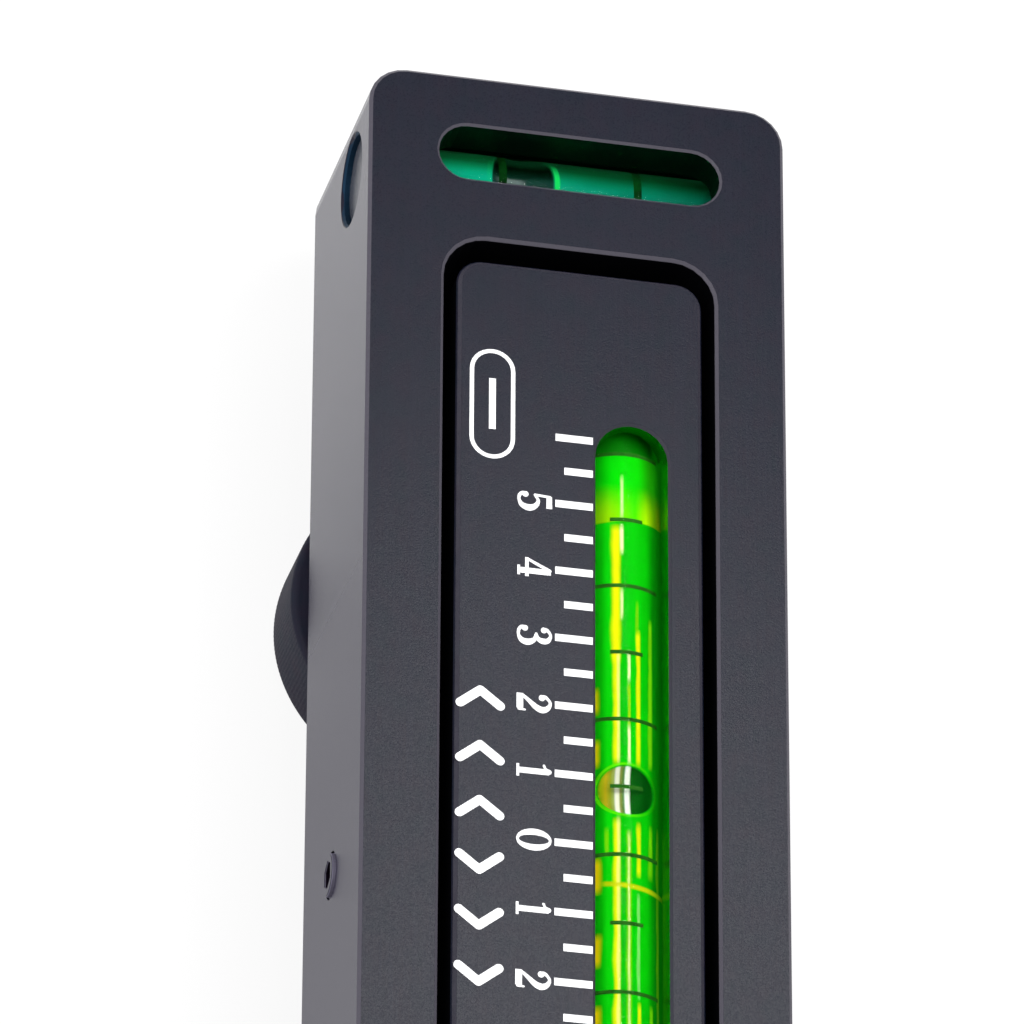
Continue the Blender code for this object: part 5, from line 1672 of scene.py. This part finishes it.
    def magnet(self, number):
        """A pot magnet: a plated cup, the ring magnet in it and its countersunk screw."""
        axis = (0, 1, 0)
        bore, edge, dog_edge = self.SCREW_BORE, self.PIVOT_EDGE, self.DOG_EDGE
        low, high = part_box(f"magnet_cup_{number}")
        origin = ((low.x + high.x) / 2, low.y, (low.z + high.z) / 2)
        radius, depth = (high.x - low.x) / 2, high.y - low.y
        inner, cup_floor = radius - self.CUP_WALL, depth - self.CUP_BASE
        profile = [(depth, bore), (depth, radius), (0.0, radius), (0.0, inner), (cup_floor, inner),
                   (cup_floor, bore)]
        turned_piece(f"magnet_cup_{number}", profile, axis, origin, "nickel_plate", "bar",
                     "nickel_plate")
        low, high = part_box(f"ring_magnet_{number}")
        radius, depth = (high.x - low.x) / 2, high.y - low.y
        screw_low, screw_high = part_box(f"magnet_screw_{number}")
        head_radius = (screw_high.x - screw_low.x) / 2
        head_top, length = screw_low.y - low.y, screw_high.y - screw_low.y
        seat = head_radius + self.HEAD_GAP
        profile = [(0.0, radius), (0.0, seat), (head_top, seat), (head_top + self.HEAD_HEIGHT, bore),
                   (depth, bore), (depth, radius)]
        turned_piece(f"ring_magnet_{number}", profile, axis, origin, "magnet_plate", "bar",
                     "ring_magnet")
        levels = [(0.0, head_radius - edge), (edge, head_radius), (self.HEAD_HEIGHT, self.SHANK_RADIUS),
                  (length - dog_edge, self.SHANK_RADIUS), (length, self.SHANK_RADIUS - dog_edge)]
        socket_screw(f"magnet_screw_{number}_turned", "bar", "bright_steel",
                     plain_finish("bright_zinc_steel"), f"magnet_screw_{number}", axis,
                     (origin[0], screw_low.y, origin[2]), levels, self.MAGNET_SOCKET,
                     (2 * self.HEAD_HEIGHT, length - 2 * dog_edge, *self.MAGNET_THREAD))


# Camera of the photograph, in the row frame
CAMERA_PLACE = Vector((-0.17408, -0.24476, 0.71625))
CAMERA_FORWARD = Vector((0.20738, 0.44641, -0.87046))
CAMERA_UP = Vector((-0.10841, 0.89481, 0.43307))
SENSOR_WIDTH_MM = 36.0
CLIP_START = 0.01


def mirrored_or_seen(tree):
    """1 for rays from the camera, off a polished surface or through glass, else 0."""
    path = tree.nodes.new("ShaderNodeLightPath").outputs
    return most(tree, [path["Is Camera Ray"], path["Is Glossy Ray"], path["Is Transmission Ray"]])


def mix_shaders(tree, share, first, second):
    """Two shaders mixed by a share."""
    node = tree.nodes.new("ShaderNodeMixShader")
    for socket, term in zip(node.inputs, (share, first, second)):
        feed(tree, socket, term)
    return node.outputs[0]


class GAUGE_OT_stage(bpy.types.Operator):
    """Set the pale floor, which is clear from below, the surroundings, the lamps and the camera."""

    bl_idname = "gauge.stage"
    bl_label = "Stage"

    FLOOR_REACH = 3.0
    FLOOR_GAP = 0.05 * MM
    FLOOR_GLOW = 0.86
    # Name, place, width and length, and power of each lamp
    LAMPS = (("key_lamp", (-0.55, 0.05, 0.65), (0.5, 0.6), 4.0),
             ("front_lamp", (0.055, 0.152, 0.26), (0.15, 0.15), 0.70),
             ("end_lamp", (0.05, 0.90, 0.55), (0.5, 0.3), 1.0))

    def execute(self, context):
        settings = context.scene.gauge_stage
        self.floor(settings)
        self.world(context.scene, settings)
        for lamp in self.LAMPS:
            self.lamp(*lamp)
        self.camera(context.scene, settings)
        context.scene.view_settings.view_transform = "Standard"
        return {"FINISHED"}

    def floor(self, settings):
        """A pale floor under the gauge, evenly bright where it is seen or mirrored."""
        reach = self.FLOOR_REACH
        level = CAD_BOX[0][2] - self.FLOOR_GAP
        mesh = bpy.data.meshes.new("floor")
        mesh.from_pydata([(-reach, -reach, level), (reach, -reach, level), (reach, reach, level),
                          (-reach, reach, level)], [], [(0, 1, 2, 3)])
        floor = new_object("floor", mesh)
        material, tree, shader = new_material("pale_floor", Roughness=0.7,
                                              Base_Color=settings.floor_colour)
        glow = add_node(tree, "ShaderNodeEmission", Strength=1.0)[0]
        share = times(tree, mirrored_or_seen(tree), self.FLOOR_GLOW)
        lit = mix_shaders(tree, share, shader.outputs[0], glow)
        below = tree.nodes.new("ShaderNodeNewGeometry").outputs["Backfacing"]
        clear = tree.nodes.new("ShaderNodeBsdfTransparent").outputs[0]
        wire(tree, tree.nodes["Material Output"], Surface=mix_shaders(tree, below, lit, clear))
        mesh.materials.append(material)

    @staticmethod
    def world(scene, settings):
        """Pale surroundings, full white where they are seen or mirrored."""
        scene.world = bpy.data.worlds.new("pale_room")
        scene.world.use_nodes = True
        tree = scene.world.node_tree
        strength = map_range(tree, mirrored_or_seen(tree), 0.0, 1.0, settings.sky, 1.0)
        wire(tree, tree.nodes["Background"], Color=(1.0, 1.0, 1.0), Strength=strength)

    @staticmethod
    def lamp(name, place, size, power):
        """An area lamp that faces the bar's middle and isn't seen itself."""
        light = bpy.data.lights.new(name, "AREA")
        light.shape = "RECTANGLE"
        light.size, light.size_y = size
        light.energy = power
        lamp = new_object(name, light)
        lamp.location = place
        lamp.rotation_euler = (BAR_MIDDLE - Vector(place)).to_track_quat("-Z", "Y").to_euler()
        lamp.visible_camera = False

    @staticmethod
    def camera(scene, settings):
        """The photograph's camera."""
        data = bpy.data.cameras.new("photo_camera")
        data.lens = settings.lens
        data.sensor_width = SENSOR_WIDTH_MM
        data.clip_start = CLIP_START
        camera = new_object("photo_camera", data)
        right = CAMERA_FORWARD.cross(CAMERA_UP).normalized()
        up = right.cross(CAMERA_FORWARD).normalized()
        turn = Matrix((right, up, -CAMERA_FORWARD.normalized())).transposed()
        camera.matrix_world = Matrix.Translation(CAMERA_PLACE) @ turn.to_4x4()
        scene.camera = camera


class GAUGE_PT_panel(bpy.types.Panel):
    """The gauge's settings and its operators."""

    bl_idname = "GAUGE_PT_panel"
    bl_label = "Camber Gauge"
    bl_space_type = "VIEW_3D"
    bl_region_type = "UI"
    bl_category = "Camber Gauge"

    def draw(self, context):
        for name, group in SETTINGS:
            box = self.layout.box()
            box.label(text=group.__doc__)
            for key in group.__annotations__:
                box.prop(getattr(context.scene, name), key)
        for operator in OPERATORS:
            self.layout.operator(operator.bl_idname)


OPERATORS = (GAUGE_OT_stage, GAUGE_OT_bar, GAUGE_OT_scale, GAUGE_OT_camber_vial,
             GAUGE_OT_level_vial, GAUGE_OT_knob, GAUGE_OT_fasteners)
CLASSES = tuple(group for name, group in SETTINGS) + OPERATORS + (GAUGE_PT_panel,)


def register():
    for item in CLASSES:
        bpy.utils.register_class(item)
    for name, group in SETTINGS:
        setattr(bpy.types.Scene, name, PointerProperty(type=group))


def unregister():
    for name, group in SETTINGS:
        delattr(bpy.types.Scene, name)
    for item in reversed(CLASSES):
        bpy.utils.unregister_class(item)


def main():
    register()
    bpy.ops.gauge.stage()
    bpy.ops.gauge.bar()
    bpy.ops.gauge.scale()
    bpy.ops.gauge.camber_vial()
    bpy.ops.gauge.level_vial()
    bpy.ops.gauge.knob()
    bpy.ops.gauge.fasteners()
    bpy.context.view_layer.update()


if __name__ == "__main__":
    main()
